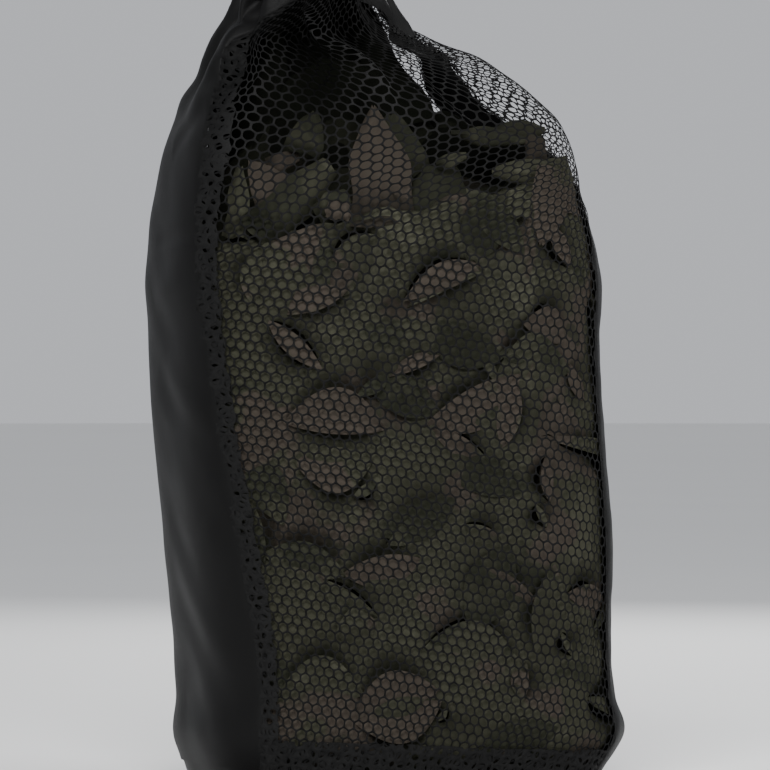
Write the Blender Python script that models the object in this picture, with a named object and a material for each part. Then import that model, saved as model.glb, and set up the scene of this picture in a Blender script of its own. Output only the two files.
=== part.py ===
"""Camouflage net, folded and stood upright in its mesh carry bag.

Metres, +Z up. The front faces -Y and the base stands on Z = 0. The bag is one surface,
bag_point(angle, height), and its panels are cut from that surface a seam's gap apart. The net is one
sheet of cloth, folded back and forth inside the bag, with leaf flaps cut through its outer layers.
"""

import math
from typing import NamedTuple

import bmesh
import bpy
import numpy as np
from mathutils import Vector

# Driving dimensions
BODY_WIDTH = 0.238  # the filled bag across X
BODY_DEPTH = 0.170  # the filled bag from front to back
CASING_EDGE = 0.4385  # where the mouth casing is sewn to the panels
RUFFLE_RISE = 0.034  # the gathered casing above that edge
BAG_CLOTH = 0.0010  # thickness of the bag's cloth, seams and hems included
NET_CLOTH = 0.0026  # thickness of a layer of the folded net
SEAM_GAP = 0.0006  # between two panels on their outer face, half of it on their inner face
CASING_GAP = 0.0009  # between the panels and the mouth casing
SLOPE_STEP = 0.002  # height step over which a seam's slant is measured
BUNDLE_CLEARANCE = 0.0025  # between the folded net and the walls of the bag
BUNDLE_FLOOR_GAP = 0.0004  # between the folded net and the base panel

# The base panel: flat in the middle, then rounded up to its seam
BASE_FLAT_SHARE = 0.86
BASE_SEAM_HEIGHT = 0.0105
BASE_SEAM_SLOPE = -0.035  # the seam sags towards the right side

NET_LAYERS = 18
CORNER_ROUNDING = 0.36  # how far a layer's side edges draw in to fit the rounded bag
FOLD_STEPS = 4
LAYER_SHARES = (0.0, 0.06, 0.45, 0.82, 1.0)
LAYER_COLUMNS = 10
# The folded net draws in over its foot, to clear the rounded base, and again under the bag's pleats
FOOT_HEIGHT = 0.026
FOOT_DRAW_IN = 0.19
SHOULDER_START = 0.315
SHOULDER_END = 0.360
SHOULDER_DRAW_IN = 0.09
# The layers wave together by a share of the bundle's depth
RIPPLE_SHARE = 0.03
RIPPLE_ACROSS = 3.2
RIPPLE_UP = 21.0


class Ring(NamedTuple):
    """One level cut through the bag. Width and depth are shares of the body's."""

    height: float
    lean: float
    width: float
    depth: float
    squareness: float


RINGS = (
    Ring(0.000, -0.0060, 0.896, 0.900, 3.4),
    Ring(0.012, -0.0040, 0.936, 0.935, 3.4),
    Ring(0.030, -0.0008, 1.000, 0.985, 3.2),
    Ring(0.050, -0.0024, 0.976, 0.995, 3.2),
    Ring(0.080, -0.0044, 0.974, 1.000, 3.2),
    Ring(0.130, -0.0070, 0.998, 1.000, 3.2),
    Ring(0.200, -0.0126, 1.004, 1.000, 3.2),
    Ring(0.245, -0.0148, 1.003, 0.992, 3.2),
    Ring(0.278, -0.0153, 1.018, 0.985, 3.2),
    Ring(0.322, -0.0182, 0.966, 0.940, 3.0),
    Ring(0.355, -0.0184, 0.912, 0.870, 2.8),
    Ring(0.366, -0.0195, 0.880, 0.830, 2.7),
    Ring(0.377, -0.0240, 0.820, 0.780, 2.6),
    Ring(0.388, -0.0272, 0.735, 0.710, 2.5),
    Ring(0.399, -0.0341, 0.652, 0.630, 2.4),
    Ring(0.410, -0.0462, 0.510, 0.560, 2.2),
    Ring(0.421, -0.0500, 0.418, 0.500, 2.0),
    Ring(0.432, -0.0511, 0.370, 0.450, 2.0),
    Ring(0.445, -0.0511, 0.330, 0.400, 2.0),
)


class Seam(NamedTuple):
    """Where the mesh meets the side panels, in degrees round from the middle of the front.

    The gathered neck is twisted: its left seam swings to the front, and its right seams swing to the back
    over the shoulder and return at the mouth.
    """

    height: float
    left: float
    right: float
    right_back: float


SEAMS = (
    Seam(0.000, -58.0, 60.0, 120.0),
    Seam(0.081, -57.0, 61.0, 120.0),
    Seam(0.135, -60.0, 61.5, 120.0),
    Seam(0.243, -67.0, 63.0, 120.0),
    Seam(0.300, -69.0, 66.0, 120.0),
    Seam(0.322, -70.0, 74.0, 121.0),
    Seam(0.343, -71.0, 92.0, 125.0),
    Seam(0.360, -73.0, 110.0, 129.0),
    Seam(0.372, -74.5, 117.0, 130.0),
    Seam(0.388, -77.0, 113.0, 128.0),
    Seam(0.398, -78.5, 105.0, 122.0),
    Seam(0.408, -75.0, 92.0, 110.0),
    Seam(0.418, -57.0, 79.0, 98.0),
    Seam(0.432, -33.0, 71.0, 90.0),
    Seam(0.440, -27.0, 69.0, 88.0),
)
LEFT_BACK_SEAM = -120.0


class Pleat(NamedTuple):
    """A valley in the gathered cloth, deeper from its start up to the casing, that sways as it drops."""

    angle: float
    width: float
    depth: float
    start: float
    sway: float


PLEATS = (
    Pleat(-172.0, 9.0, 0.24, 0.345, 0.0),
    Pleat(-146.0, 9.0, 0.20, 0.335, 5.0),
    Pleat(-120.0, 8.0, 0.18, 0.350, 0.0),
    Pleat(-92.0, 9.0, 0.22, 0.345, -6.0),
    Pleat(-62.0, 9.0, 0.20, 0.350, -12.0),
    Pleat(-26.0, 10.0, 0.18, 0.345, -12.0),
    Pleat(4.0, 9.0, 0.14, 0.335, -6.0),
    Pleat(36.0, 9.0, 0.18, 0.350, -8.0),
    Pleat(72.0, 10.0, 0.30, 0.345, -40.0),
    Pleat(93.0, 7.0, 0.16, 0.345, 0.0),
    Pleat(114.0, 9.0, 0.22, 0.345, -10.0),
    Pleat(139.0, 9.0, 0.20, 0.335, -14.0),
    Pleat(164.0, 8.0, 0.18, 0.350, 0.0),
)

# The panels' columns round the bag, and their rows as shares of the way from the base seam to the casing
FRONT_COLUMNS = 28
SIDE_COLUMNS = 9
PANEL_ROWS = (
    *(0.0, 0.025, 0.06, 0.16, 0.28, 0.40, 0.52, 0.61, 0.67),
    *(0.72, 0.76, 0.80, 0.84, 0.88, 0.915, 0.945, 0.972, 1.0),
)

BASE_COLUMNS = 56
BASE_RINGS = (0.0, 0.5, 0.86, 0.91, 0.955, 0.985, 1.0)

# The casing's section: reach as a share of the neck's, and rise as a share of the ruffle's
CASING_COLUMNS = 56
CASING_THROAT_RISE = 0.42
CASING_SECTION = (
    (0.965, 0.00),
    (1.000, 0.00),
    (0.800, 0.25),
    (0.660, CASING_THROAT_RISE),
    (0.780, 0.72),
    (0.980, 0.97),
    (0.930, 1.00),
    (0.620, 0.92),
    (0.360, 0.86),
    (0.000, 0.84),
)
CASING_UNDERSIDE = (
    (0.000, 0.46),
    (0.360, 0.50),
    (0.610, 0.38),
    (0.765, 0.23),
    (0.965, 0.00),
)
# On the right side the casing's edge hangs down in one lobe
LOBE_ANGLE = 66.0
LOBE_WIDTH = 20.0
LOBE_DROP = 0.010


class Crest(NamedTuple):
    """Heights of one top fold of the net, at places evenly spaced across the bag."""

    left: float
    left_rise: float
    leaf: float
    middle: float
    right_rise: float
    right: float


CRESTS = (
    Crest(0.299, 0.311, 0.321, 0.323, 0.345, 0.334),
    Crest(0.322, 0.346, 0.371, 0.338, 0.348, 0.330),
    Crest(0.328, 0.360, 0.349, 0.343, 0.352, 0.322),
    Crest(0.318, 0.344, 0.352, 0.360, 0.344, 0.328),
    Crest(0.320, 0.386, 0.404, 0.396, 0.348, 0.322),
    Crest(0.314, 0.336, 0.348, 0.344, 0.376, 0.342),
    Crest(0.326, 0.348, 0.338, 0.332, 0.340, 0.316),
    Crest(0.312, 0.330, 0.342, 0.346, 0.332, 0.320),
    Crest(0.300, 0.314, 0.322, 0.318, 0.324, 0.308),
)


class LeafCut(NamedTuple):
    """A crescent cut beside a leaf flap: its middle across and up, its tilt in degrees and its length."""

    across: float
    height: float
    tilt: float
    length: float


LEAF_CUTS = (
    LeafCut(-0.060, 0.2750, 75.0, 0.044),
    LeafCut(0.001, 0.2660, 8.0, 0.046),
    LeafCut(-0.072, 0.2400, -50.0, 0.034),
    LeafCut(-0.038, 0.2230, 10.0, 0.022),
    LeafCut(-0.056, 0.1900, 5.0, 0.046),
    LeafCut(-0.073, 0.1620, -60.0, 0.030),
    LeafCut(0.007, 0.1860, -25.0, 0.036),
    LeafCut(0.040, 0.2090, 80.0, 0.038),
    LeafCut(0.052, 0.2550, 15.0, 0.042),
    LeafCut(0.070, 0.1880, 0.0, 0.022),
    LeafCut(-0.022, 0.1470, 40.0, 0.036),
    LeafCut(0.024, 0.1420, -20.0, 0.026),
    LeafCut(-0.064, 0.1300, -10.0, 0.038),
    LeafCut(-0.048, 0.1000, -38.0, 0.038),
    LeafCut(0.072, 0.1020, 70.0, 0.034),
    LeafCut(0.015, 0.0800, -30.0, 0.052),
    LeafCut(-0.062, 0.0640, 5.0, 0.040),
    LeafCut(-0.022, 0.0400, 10.0, 0.046),
    LeafCut(0.046, 0.0560, 85.0, 0.024),
)
CUT_BULGE = 0.20  # rise of a crescent's inner arc as a share of its length
CUT_OPENING = 0.17  # a crescent's width as a share of its length
CUT_STEPS = 6
CUT_REACH = 0.005  # how far a cut goes in past the outer layer's middle


def smooth_step(low, high, value):
    share = min(max((value - low) / (high - low), 0.0), 1.0)
    return share * share * (3.0 - 2.0 * share)


def read_rows(rows, column, height):
    """The column's value at a height, on a smooth curve through the rows."""
    heights = [row.height for row in rows]
    values = [getattr(row, column) for row in rows]
    height = min(max(height, heights[0]), heights[-1])
    slopes = np.gradient(values, heights)
    index = min(int(np.searchsorted(heights, height, side="right")) - 1, len(rows) - 2)
    span = heights[index + 1] - heights[index]
    share = (height - heights[index]) / span
    rise = values[index + 1] - values[index]
    bend_in = slopes[index] * span - rise
    bend_out = rise - slopes[index + 1] * span
    blend = share * (1.0 - share) * ((1.0 - share) * bend_in + share * bend_out)
    return values[index] + rise * share + blend


def ring_reach(angle, half_width, half_depth, squareness):
    """Distance from the middle of a rounded rectangle to its edge."""
    across = abs(math.sin(angle)) / half_width
    along = abs(math.cos(angle)) / half_depth
    return (across**squareness + along**squareness) ** (-1.0 / squareness)


def hull_point(angle, height):
    """The bag's outer surface before its pleats, at an angle round from the middle of the front."""
    half_width = BODY_WIDTH / 2.0 * read_rows(RINGS, "width", height)
    half_depth = BODY_DEPTH / 2.0 * read_rows(RINGS, "depth", height)
    turn = math.radians(angle)
    reach = ring_reach(turn, half_width, half_depth, read_rows(RINGS, "squareness", height))
    lean = read_rows(RINGS, "lean", height)
    return Vector((lean + reach * math.sin(turn), -reach * math.cos(turn), height))


def pleat_share(angle, height):
    """How much of the reach the pleats leave."""
    share = 1.0
    for pleat in PLEATS:
        grown = smooth_step(pleat.start, CASING_EDGE, height)
        middle = pleat.angle + pleat.sway * (CASING_EDGE - height) / (CASING_EDGE - pleat.start)
        away = (angle - middle + 180.0) % 360.0 - 180.0
        share -= pleat.depth * grown * math.exp(-((away / pleat.width) ** 2))
    return share


def ring_middle(height):
    return Vector((read_rows(RINGS, "lean", height), 0.0, height))


def bag_point(angle, height):
    middle = ring_middle(height)
    return middle + (hull_point(angle, height) - middle) * pleat_share(angle, height)


def girth_table():
    """Angles round the body and the distance round it up to each, so that columns can be spaced evenly."""
    angles = np.arange(-180.0, 541.0, 1.0)
    points = [hull_point(angle, BODY_WIDTH) for angle in angles]
    steps = [(after - before).length for before, after in zip(points, points[1:])]
    return angles, np.concatenate(([0.0], np.cumsum(steps)))


GIRTH_ANGLES, GIRTHS = girth_table()


def even_angle(start_edge, end_edge, share, height):
    """The angle a share of the way round the cloth between two seams, with half a seam's gap at each."""
    start, end = start_edge(height), end_edge(height)
    first = np.interp(start, GIRTH_ANGLES, GIRTHS) + half_gap(start_edge, height)
    last = np.interp(end if end > start else end + 360.0, GIRTH_ANGLES, GIRTHS) - half_gap(end_edge, height)
    return float(np.interp(first + (last - first) * share, GIRTHS, GIRTH_ANGLES))


def half_gap(edge, height):
    """Half a seam's gap along the body's girth, wider where the neck is narrow or the seam runs aslant."""
    width = read_rows(RINGS, "width", height)
    swing = (edge(height + SLOPE_STEP) - edge(height - SLOPE_STEP)) / (2.0 * SLOPE_STEP)
    slant = math.radians(swing) * BODY_WIDTH / 2.0 * width
    return SEAM_GAP / 2.0 / width * math.hypot(1.0, slant)


def base_seam_height(angle):
    return BASE_SEAM_HEIGHT + BASE_SEAM_SLOPE * BODY_WIDTH / 2.0 * math.sin(math.radians(angle))


def casing_edge(angle):
    away = (angle - LOBE_ANGLE + 180.0) % 360.0 - 180.0
    return CASING_EDGE - LOBE_DROP * math.exp(-((away / LOBE_WIDTH) ** 2))


def material(name, colour, roughness, sheen=0.0):
    made = bpy.data.materials.new(name)
    made.use_nodes = True
    shader = made.node_tree.nodes["Principled BSDF"]
    shader.inputs["Base Color"].default_value = (*colour, 1.0)
    shader.inputs["Roughness"].default_value = roughness
    shader.inputs["Metallic"].default_value = 0.0
    shader.inputs["Sheen Weight"].default_value = sheen
    made.diffuse_color = (*colour, 1.0)
    return made


def grid_object(name, columns, rows, place, finish):
    """A grid of cloth, each point put where place(across, up) says. Points that meet are merged."""
    mesh = bpy.data.meshes.new(name)
    cloth = bmesh.new()
    bmesh.ops.create_grid(cloth, x_segments=columns, y_segments=rows, size=1.0)
    for vertex in cloth.verts:
        vertex.co = place((vertex.co.x + 1.0) / 2.0, (vertex.co.y + 1.0) / 2.0)
    bmesh.ops.remove_doubles(cloth, verts=cloth.verts, dist=0.00001)
    strays = [edge for edge in cloth.edges if edge.is_wire]
    bmesh.ops.delete(cloth, geom=strays, context="EDGES")
    cloth.to_mesh(mesh)
    cloth.free()
    mesh.materials.append(finish)
    made = bpy.data.objects.new(name, mesh)
    bpy.context.scene.collection.objects.link(made)
    return made


def thicken(piece, thickness, offset):
    solid = piece.modifiers.new("Thickness", "SOLIDIFY")
    solid.thickness = thickness
    solid.offset = offset
    solid.use_even_offset = True
    solid.use_quality_normals = True


def left_seam(height):
    return read_rows(SEAMS, "left", height)


def right_seam(height):
    return read_rows(SEAMS, "right", height)


def right_back_seam(height):
    return read_rows(SEAMS, "right_back", height)


def left_back_seam(height):
    return LEFT_BACK_SEAM


def panel(name, columns, start_edge, end_edge, finish):
    """A panel between two seams, from the base seam up to the casing. Edges are angles at a height."""

    def place(across, up):
        share = float(np.interp(up * (len(PANEL_ROWS) - 1), range(len(PANEL_ROWS)), PANEL_ROWS))
        height = share * CASING_EDGE
        angle = even_angle(start_edge, end_edge, across, height)
        foot = base_seam_height(angle) + SEAM_GAP / 2.0
        height = foot + (casing_edge(angle) - CASING_GAP - foot) * share
        return bag_point(even_angle(start_edge, end_edge, across, height), height)

    made = grid_object(name, columns, len(PANEL_ROWS) - 1, place, finish)
    thicken(made, BAG_CLOTH, -1.0)
    return made


def base_panel(finish):
    """The sewn-in base: flat where it stands, rounded up to its seam."""

    def place(across, up):
        share = float(np.interp(up * (len(BASE_RINGS) - 1), range(len(BASE_RINGS)), BASE_RINGS))
        angle = 360.0 * across
        seam = bag_point(angle, base_seam_height(angle) - SEAM_GAP / 2.0)
        bend = max(share - BASE_FLAT_SHARE, 0.0) / (1.0 - BASE_FLAT_SHARE)
        rise = seam.z * (1.0 - math.sqrt(1.0 - min(bend, 1.0) ** 2))
        return Vector((seam.x * share, seam.y * share, rise))

    made = grid_object("base_panel", BASE_COLUMNS, len(BASE_RINGS) - 1, place, finish)
    thicken(made, BAG_CLOTH, -1.0)
    return made


def mouth_casing(finish):
    """The gathered casing, drawn shut: a ruffle above the throat, one lobe hanging on the right."""
    section = CASING_SECTION + CASING_UNDERSIDE

    def place(across, up):
        reach, rise = section[round(up * (len(section) - 1))]
        angle = 360.0 * across
        edge = bag_point(angle, casing_edge(angle))
        middle = ring_middle(CASING_EDGE)
        drop = edge.z - CASING_EDGE
        level = CASING_EDGE + RUFFLE_RISE * rise + drop * (1.0 - smooth_step(0.0, CASING_THROAT_RISE, rise))
        return Vector((middle.x + (edge.x - middle.x) * reach, edge.y * reach, level))

    return grid_object("mouth_casing", CASING_COLUMNS, len(section) - 1, place, finish)


def bundle_half(height):
    """Half width and half depth that the folded net may fill at a height."""
    shoulder = 1.0 - SHOULDER_DRAW_IN * smooth_step(SHOULDER_START, SHOULDER_END, height)
    foot = 1.0 - FOOT_DRAW_IN * (1.0 - min(height / FOOT_HEIGHT, 1.0)) ** 2
    inset = BAG_CLOTH + BUNDLE_CLEARANCE + NET_CLOTH / 2.0
    half_width = BODY_WIDTH / 2.0 * read_rows(RINGS, "width", height) * shoulder * foot - inset
    half_depth = BODY_DEPTH / 2.0 * read_rows(RINGS, "depth", height) * shoulder * foot - inset
    return half_width, half_depth


def layer_point(side, depth, height):
    """A place in the folded net: side and depth run from -1 to 1 across and through it."""
    half_width, half_depth = bundle_half(height)
    ripple = RIPPLE_SHARE * math.sin(RIPPLE_ACROSS * side + RIPPLE_UP * height) * (1.0 - depth * depth)
    across = side * half_width * math.sqrt(1.0 - CORNER_ROUNDING * depth * depth)
    along = (depth + ripple) * half_depth * math.sqrt(1.0 - CORNER_ROUNDING * side * side)
    return Vector((read_rows(RINGS, "lean", height) + across, along, height))


def fold_path():
    """The net's way through its section: depth, share of the layer's height, and rise over a fold's end."""
    pitch = 2.0 / (NET_LAYERS - 1)
    path = []
    for layer in range(NET_LAYERS):
        depth = -1.0 + pitch * layer
        upward = layer % 2 == 0
        shares = LAYER_SHARES if upward else LAYER_SHARES[::-1]
        path += [(depth, share, 0.0, layer // 2) for share in shares]
        if layer == NET_LAYERS - 1:
            break
        for step in range(1, FOLD_STEPS):
            turn = math.pi * step / FOLD_STEPS
            bulge = math.sin(turn) if upward else -math.sin(turn)
            path.append((depth + pitch * (1.0 - math.cos(turn)) / 2.0, float(upward), bulge, layer // 2))
    return path


def camouflage_net(finish):
    """The net: one sheet folded back and forth from front to back, cut through in its outer layers."""
    path = fold_path()
    half_pitch = BODY_DEPTH / (NET_LAYERS - 1) / 2.0
    foot = BAG_CLOTH + BUNDLE_FLOOR_GAP + NET_CLOTH / 2.0 + half_pitch

    def place(across, up):
        side = 2.0 * across - 1.0
        depth, share, bulge, fold = path[round(up * (len(path) - 1))]
        crest = float(np.interp(side, np.linspace(-1.0, 1.0, len(CRESTS[fold])), CRESTS[fold]))
        height = foot + (crest - half_pitch - foot) * share
        return layer_point(side, depth, height) + Vector((0.0, 0.0, half_pitch * bulge))

    made = grid_object("camouflage_net", LAYER_COLUMNS, len(path) - 1, place, finish)
    thicken(made, NET_CLOTH, 0.0)
    cut = made.modifiers.new("Leaf cuts", "BOOLEAN")
    cut.operation = "DIFFERENCE"
    cut.object = leaf_cutters()
    return made


def crescent_outline(cut):
    """The crescent's points, the outer arc and then the inner one, across and up from its middle."""
    tilt = math.radians(cut.tilt)
    inner = cut.length * CUT_BULGE
    outer = inner + cut.length * CUT_OPENING
    shares = [step / CUT_STEPS for step in range(CUT_STEPS + 1)]
    along = [(share, outer * math.sin(math.pi * share)) for share in shares]
    back = [(share, inner * math.sin(math.pi * share)) for share in reversed(shares[1:-1])]
    points = []
    for share, bulge in along + back:
        level = cut.length * (share - 0.5)
        across = level * math.cos(tilt) - bulge * math.sin(tilt)
        up = level * math.sin(tilt) + bulge * math.cos(tilt)
        points.append((across, up))
    return points


def add_cutter(shape, cut, face):
    """One crescent prism through the outer layer. face is -1 at the front and 1 at the back."""
    half_width, half_depth = bundle_half(cut.height)
    middle = read_rows(RINGS, "lean", cut.height) + cut.across
    side = cut.across / (half_width * math.sqrt(1.0 - CORNER_ROUNDING))
    layer = half_depth * math.sqrt(1.0 - CORNER_ROUNDING * min(side * side, 1.0))
    inner = face * (layer - CUT_REACH)
    outer = face * BODY_DEPTH
    outline = [
        shape.verts.new((middle + across, inner, cut.height + up)) for across, up in crescent_outline(cut)
    ]
    start = shape.faces.new(outline)
    pulled = bmesh.ops.extrude_face_region(shape, geom=[start])
    moved = [item for item in pulled["geom"] if isinstance(item, bmesh.types.BMVert)]
    bmesh.ops.translate(shape, verts=moved, vec=(0.0, outer - inner, 0.0))


def leaf_cutters():
    shape = bmesh.new()
    for number, cut in enumerate(LEAF_CUTS):
        add_cutter(shape, cut, -1.0)
        if number % 2:
            add_cutter(shape, cut, 1.0)
    bmesh.ops.recalc_face_normals(shape, faces=shape.faces)
    mesh = bpy.data.meshes.new("leaf_cutters")
    shape.to_mesh(mesh)
    shape.free()
    made = bpy.data.objects.new("leaf_cutters", mesh)
    bpy.context.scene.collection.objects.link(made)
    made.hide_render = True
    made.display_type = "WIRE"
    return made


def stand_on_origin(pieces):
    """Shift the pieces so that their common box stands centred on the origin."""
    bpy.context.view_layer.update()
    graph = bpy.context.evaluated_depsgraph_get()
    corners = [Vector(corner) for piece in pieces for corner in piece.evaluated_get(graph).bound_box]
    middle_x = (min(corner.x for corner in corners) + max(corner.x for corner in corners)) / 2.0
    middle_y = (min(corner.y for corner in corners) + max(corner.y for corner in corners)) / 2.0
    for made in bpy.data.objects:
        made.location = (-middle_x, -middle_y, 0.0)


def main():
    for old in list(bpy.data.objects):
        bpy.data.objects.remove(old)

    net_cloth = material("camouflage_cloth", (0.040, 0.045, 0.028), 0.85)
    front_mesh = material("black_mesh_front", (0.012, 0.012, 0.013), 0.60)
    back_mesh = material("black_mesh_back", (0.012, 0.012, 0.013), 0.60)
    left_nylon = material("black_nylon_left", (0.022, 0.022, 0.024), 0.45, 0.2)
    right_nylon = material("black_nylon_right", (0.022, 0.022, 0.024), 0.45, 0.2)
    base_nylon = material("black_nylon_base", (0.022, 0.022, 0.024), 0.50, 0.2)
    casing_nylon = material("black_nylon_casing", (0.028, 0.028, 0.030), 0.40, 0.2)

    pieces = [
        camouflage_net(net_cloth),
        panel("mesh_front", FRONT_COLUMNS, left_seam, right_seam, front_mesh),
        panel("side_right", SIDE_COLUMNS, right_seam, right_back_seam, right_nylon),
        panel("mesh_back", FRONT_COLUMNS, right_back_seam, left_back_seam, back_mesh),
        panel("side_left", SIDE_COLUMNS, left_back_seam, left_seam, left_nylon),
        base_panel(base_nylon),
        mouth_casing(casing_nylon),
    ]
    stand_on_origin(pieces)


main()
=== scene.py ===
"""The looks of a camouflage net that is folded and stood upright in its mesh carry bag.

The bag is one surface, bag(angles, heights), with the same sizes as its solids. Its knitted mesh, its nylon
and the net inside it are drawn flat, as cloth is cut, and then laid on that surface. Metres, +Z up, the
front to -Y. Angles are degrees round from the middle of the front, to the right.
"""

import math
from typing import NamedTuple

import bmesh
import bpy
import numpy as np
from mathutils import Matrix, Vector


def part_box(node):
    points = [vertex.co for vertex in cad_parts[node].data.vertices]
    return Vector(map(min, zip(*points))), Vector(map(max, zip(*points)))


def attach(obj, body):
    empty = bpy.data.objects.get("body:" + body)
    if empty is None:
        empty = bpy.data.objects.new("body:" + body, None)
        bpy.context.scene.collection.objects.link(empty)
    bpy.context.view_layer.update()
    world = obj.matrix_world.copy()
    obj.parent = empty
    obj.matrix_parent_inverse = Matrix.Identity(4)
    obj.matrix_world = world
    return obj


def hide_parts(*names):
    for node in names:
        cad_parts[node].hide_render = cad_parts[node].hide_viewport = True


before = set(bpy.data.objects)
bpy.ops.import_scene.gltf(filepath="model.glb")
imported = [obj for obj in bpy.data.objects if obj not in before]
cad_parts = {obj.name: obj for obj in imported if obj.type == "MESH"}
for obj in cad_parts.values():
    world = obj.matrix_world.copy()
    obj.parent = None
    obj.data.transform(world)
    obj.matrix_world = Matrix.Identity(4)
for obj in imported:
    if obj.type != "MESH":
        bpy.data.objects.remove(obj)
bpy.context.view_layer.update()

# The bag's driving dimensions, as its solids have them
BODY_WIDTH = 0.238
BODY_DEPTH = 0.170
CASING_EDGE = 0.4385
RUFFLE_RISE = 0.034
SEAM_GAP = 0.0006
BASE_FLAT_SHARE = 0.86
BASE_SEAM_HEIGHT = 0.0105
BASE_SEAM_SLOPE = -0.035
LEFT_BACK_SEAM = -120.0
LOBE_ANGLE = 66.0
LOBE_WIDTH = 20.0
LOBE_DROP = 0.010

# The knitted mesh
MESH_PITCH = 0.0056
ROW_STRETCH = 1.06
STRAND_WIDTH = 0.00084
STRAND_RISE = 0.00035
CELL_SIDES = 12
HOLE_CORNER = 1.06  # how far a hole reaches into the cell's corners
MESH_TURN = -8.0  # degrees that the knitted rows slope down to the right
HEM_WIDTH = 0.0122
FOOT_HEM_WIDTH = 0.0165
HEM_RISE = 0.0008
HEM_HOLE = 0.74  # a hole of the doubled hem as a share of an open one
SEAM_PAINTED_SHEEN = 0.45  # how far painted sheen lightens the yarn of the left seam's hem, as a share of the full painted sheen
FOOT_PAINTED_SHEEN = 0.25
PAINTED_SHEEN_FADE = (0.33, 0.38)  # heights over which the hems' painted sheen ends
YARN_SHARE = 0.40  # how much of a mesh panel is yarn, the rest being holes
WELD = 0.00001  # points this close are one
BACK_HOLE = 1.05  # the back panel's yarn is pulled thinner

# The folded net
NET_LAYERS = 18
NET_INSET = 0.0024  # from the bag's surface to the net's outer face
NET_FOOT = 0.0075
CORNER_ROUNDING = 0.36
FOOT_HEIGHT = 0.026
FOOT_DRAW_IN = 0.19
SHOULDER_START = 0.315
SHOULDER_END = 0.360
SHOULDER_DRAW_IN = 0.09
OUTER_HALF_ARC = 0.172  # half the width of the two outer layers, which wrap round the corners
CORNER_ARC = 0.112  # where the outer layers turn the corner
INNER_SIDE = 0.93  # inner layers end short of the wrap
FOLD_SHARE = 0.06  # length of a fold's turn as a share of a layer's height

GIRTH_LEVEL = 0.238  # where distances round the bag are measured
# Steps over which a surface's normal is measured
STEP_ANGLE = 0.4
STEP_HEIGHT = 0.0004

# The picture: its scale, the pixel of the middle of the base, and the camera's view
PIXEL = 0.55  # millimetres
PICTURE_MIDDLE = 400
PICTURE_FLOOR = 785
FRAME_HEIGHT = 0.4235
VIEW_AZIMUTH = -18.0
VIEW_ELEVATION = 1.0
VIEW_DISTANCE = 4.5
VIEW_MIDDLE_ACROSS = -0.00825
VIEW_MIDDLE_HEIGHT = 0.220
VIEW_TURN = math.radians(VIEW_AZIMUTH)

# Soft waves in the cloth: their length, their rise and how many are laid over each other
KNIT_WANDER = (0.017, 0.00030, 5)
ROW_WANDER = (0.021, 0.00030, 5)
HEM_WANDER = (0.007, 0.0007, 6)
MESH_WAVES = (0.055, 0.00035, 5)
HEM_WAVES = (0.012, 0.00030, 5)
NYLON_WAVES = (0.080, 0.0004, 6)
NYLON_RIPPLES = (0.024, 0.00018, 6)
FOOT_WAVES = (0.05, 0.0008, 5)
NET_WAVES = (0.075, 0.0006, 6)
NET_RIPPLES = (0.022, 0.00025, 6)
CREST_WAVES = (0.035, 0.0018, 4)

draws = np.random.default_rng(5)


def table(kind, *rows):
    return tuple(kind(*row) for row in rows)


class Ring(NamedTuple):
    """One level cut through the bag. Width and depth are shares of the body's."""

    height: float
    lean: float
    width: float
    depth: float
    squareness: float


RINGS = table(
    Ring,
    (0.000, -0.0060, 0.896, 0.900, 3.4),
    (0.012, -0.0040, 0.936, 0.935, 3.4),
    (0.030, -0.0008, 1.000, 0.985, 3.2),
    (0.050, -0.0024, 0.976, 0.995, 3.2),
    (0.080, -0.0044, 0.974, 1.000, 3.2),
    (0.130, -0.0070, 0.998, 1.000, 3.2),
    (0.200, -0.0126, 1.004, 1.000, 3.2),
    (0.245, -0.0148, 1.003, 0.992, 3.2),
    (0.278, -0.0153, 1.018, 0.985, 3.2),
    (0.322, -0.0182, 0.966, 0.940, 3.0),
    (0.355, -0.0184, 0.912, 0.870, 2.8),
    (0.366, -0.0195, 0.880, 0.830, 2.7),
    (0.377, -0.0240, 0.820, 0.780, 2.6),
    (0.388, -0.0272, 0.735, 0.710, 2.5),
    (0.399, -0.0341, 0.652, 0.630, 2.4),
    (0.410, -0.0462, 0.510, 0.560, 2.2),
    (0.421, -0.0500, 0.418, 0.500, 2.0),
    (0.432, -0.0511, 0.370, 0.450, 2.0),
    (0.445, -0.0511, 0.330, 0.400, 2.0),
)


class Seam(NamedTuple):
    """Where the mesh meets the side panels."""

    height: float
    left: float
    right: float
    right_back: float


SEAMS = table(
    Seam,
    (0.000, -58.0, 60.0, 120.0),
    (0.081, -57.0, 61.0, 120.0),
    (0.135, -60.0, 61.5, 120.0),
    (0.243, -67.0, 63.0, 120.0),
    (0.300, -69.0, 66.0, 120.0),
    (0.322, -70.0, 74.0, 121.0),
    (0.343, -71.0, 92.0, 125.0),
    (0.360, -73.0, 110.0, 129.0),
    (0.372, -74.5, 117.0, 130.0),
    (0.388, -77.0, 113.0, 128.0),
    (0.398, -78.5, 105.0, 122.0),
    (0.408, -75.0, 92.0, 110.0),
    (0.418, -57.0, 79.0, 98.0),
    (0.432, -33.0, 71.0, 90.0),
    (0.440, -27.0, 69.0, 88.0),
)


class Pleat(NamedTuple):
    """A valley in the gathered cloth, deeper from its start up to the casing, that sways as it drops."""

    angle: float
    width: float
    depth: float
    start: float
    sway: float


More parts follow.
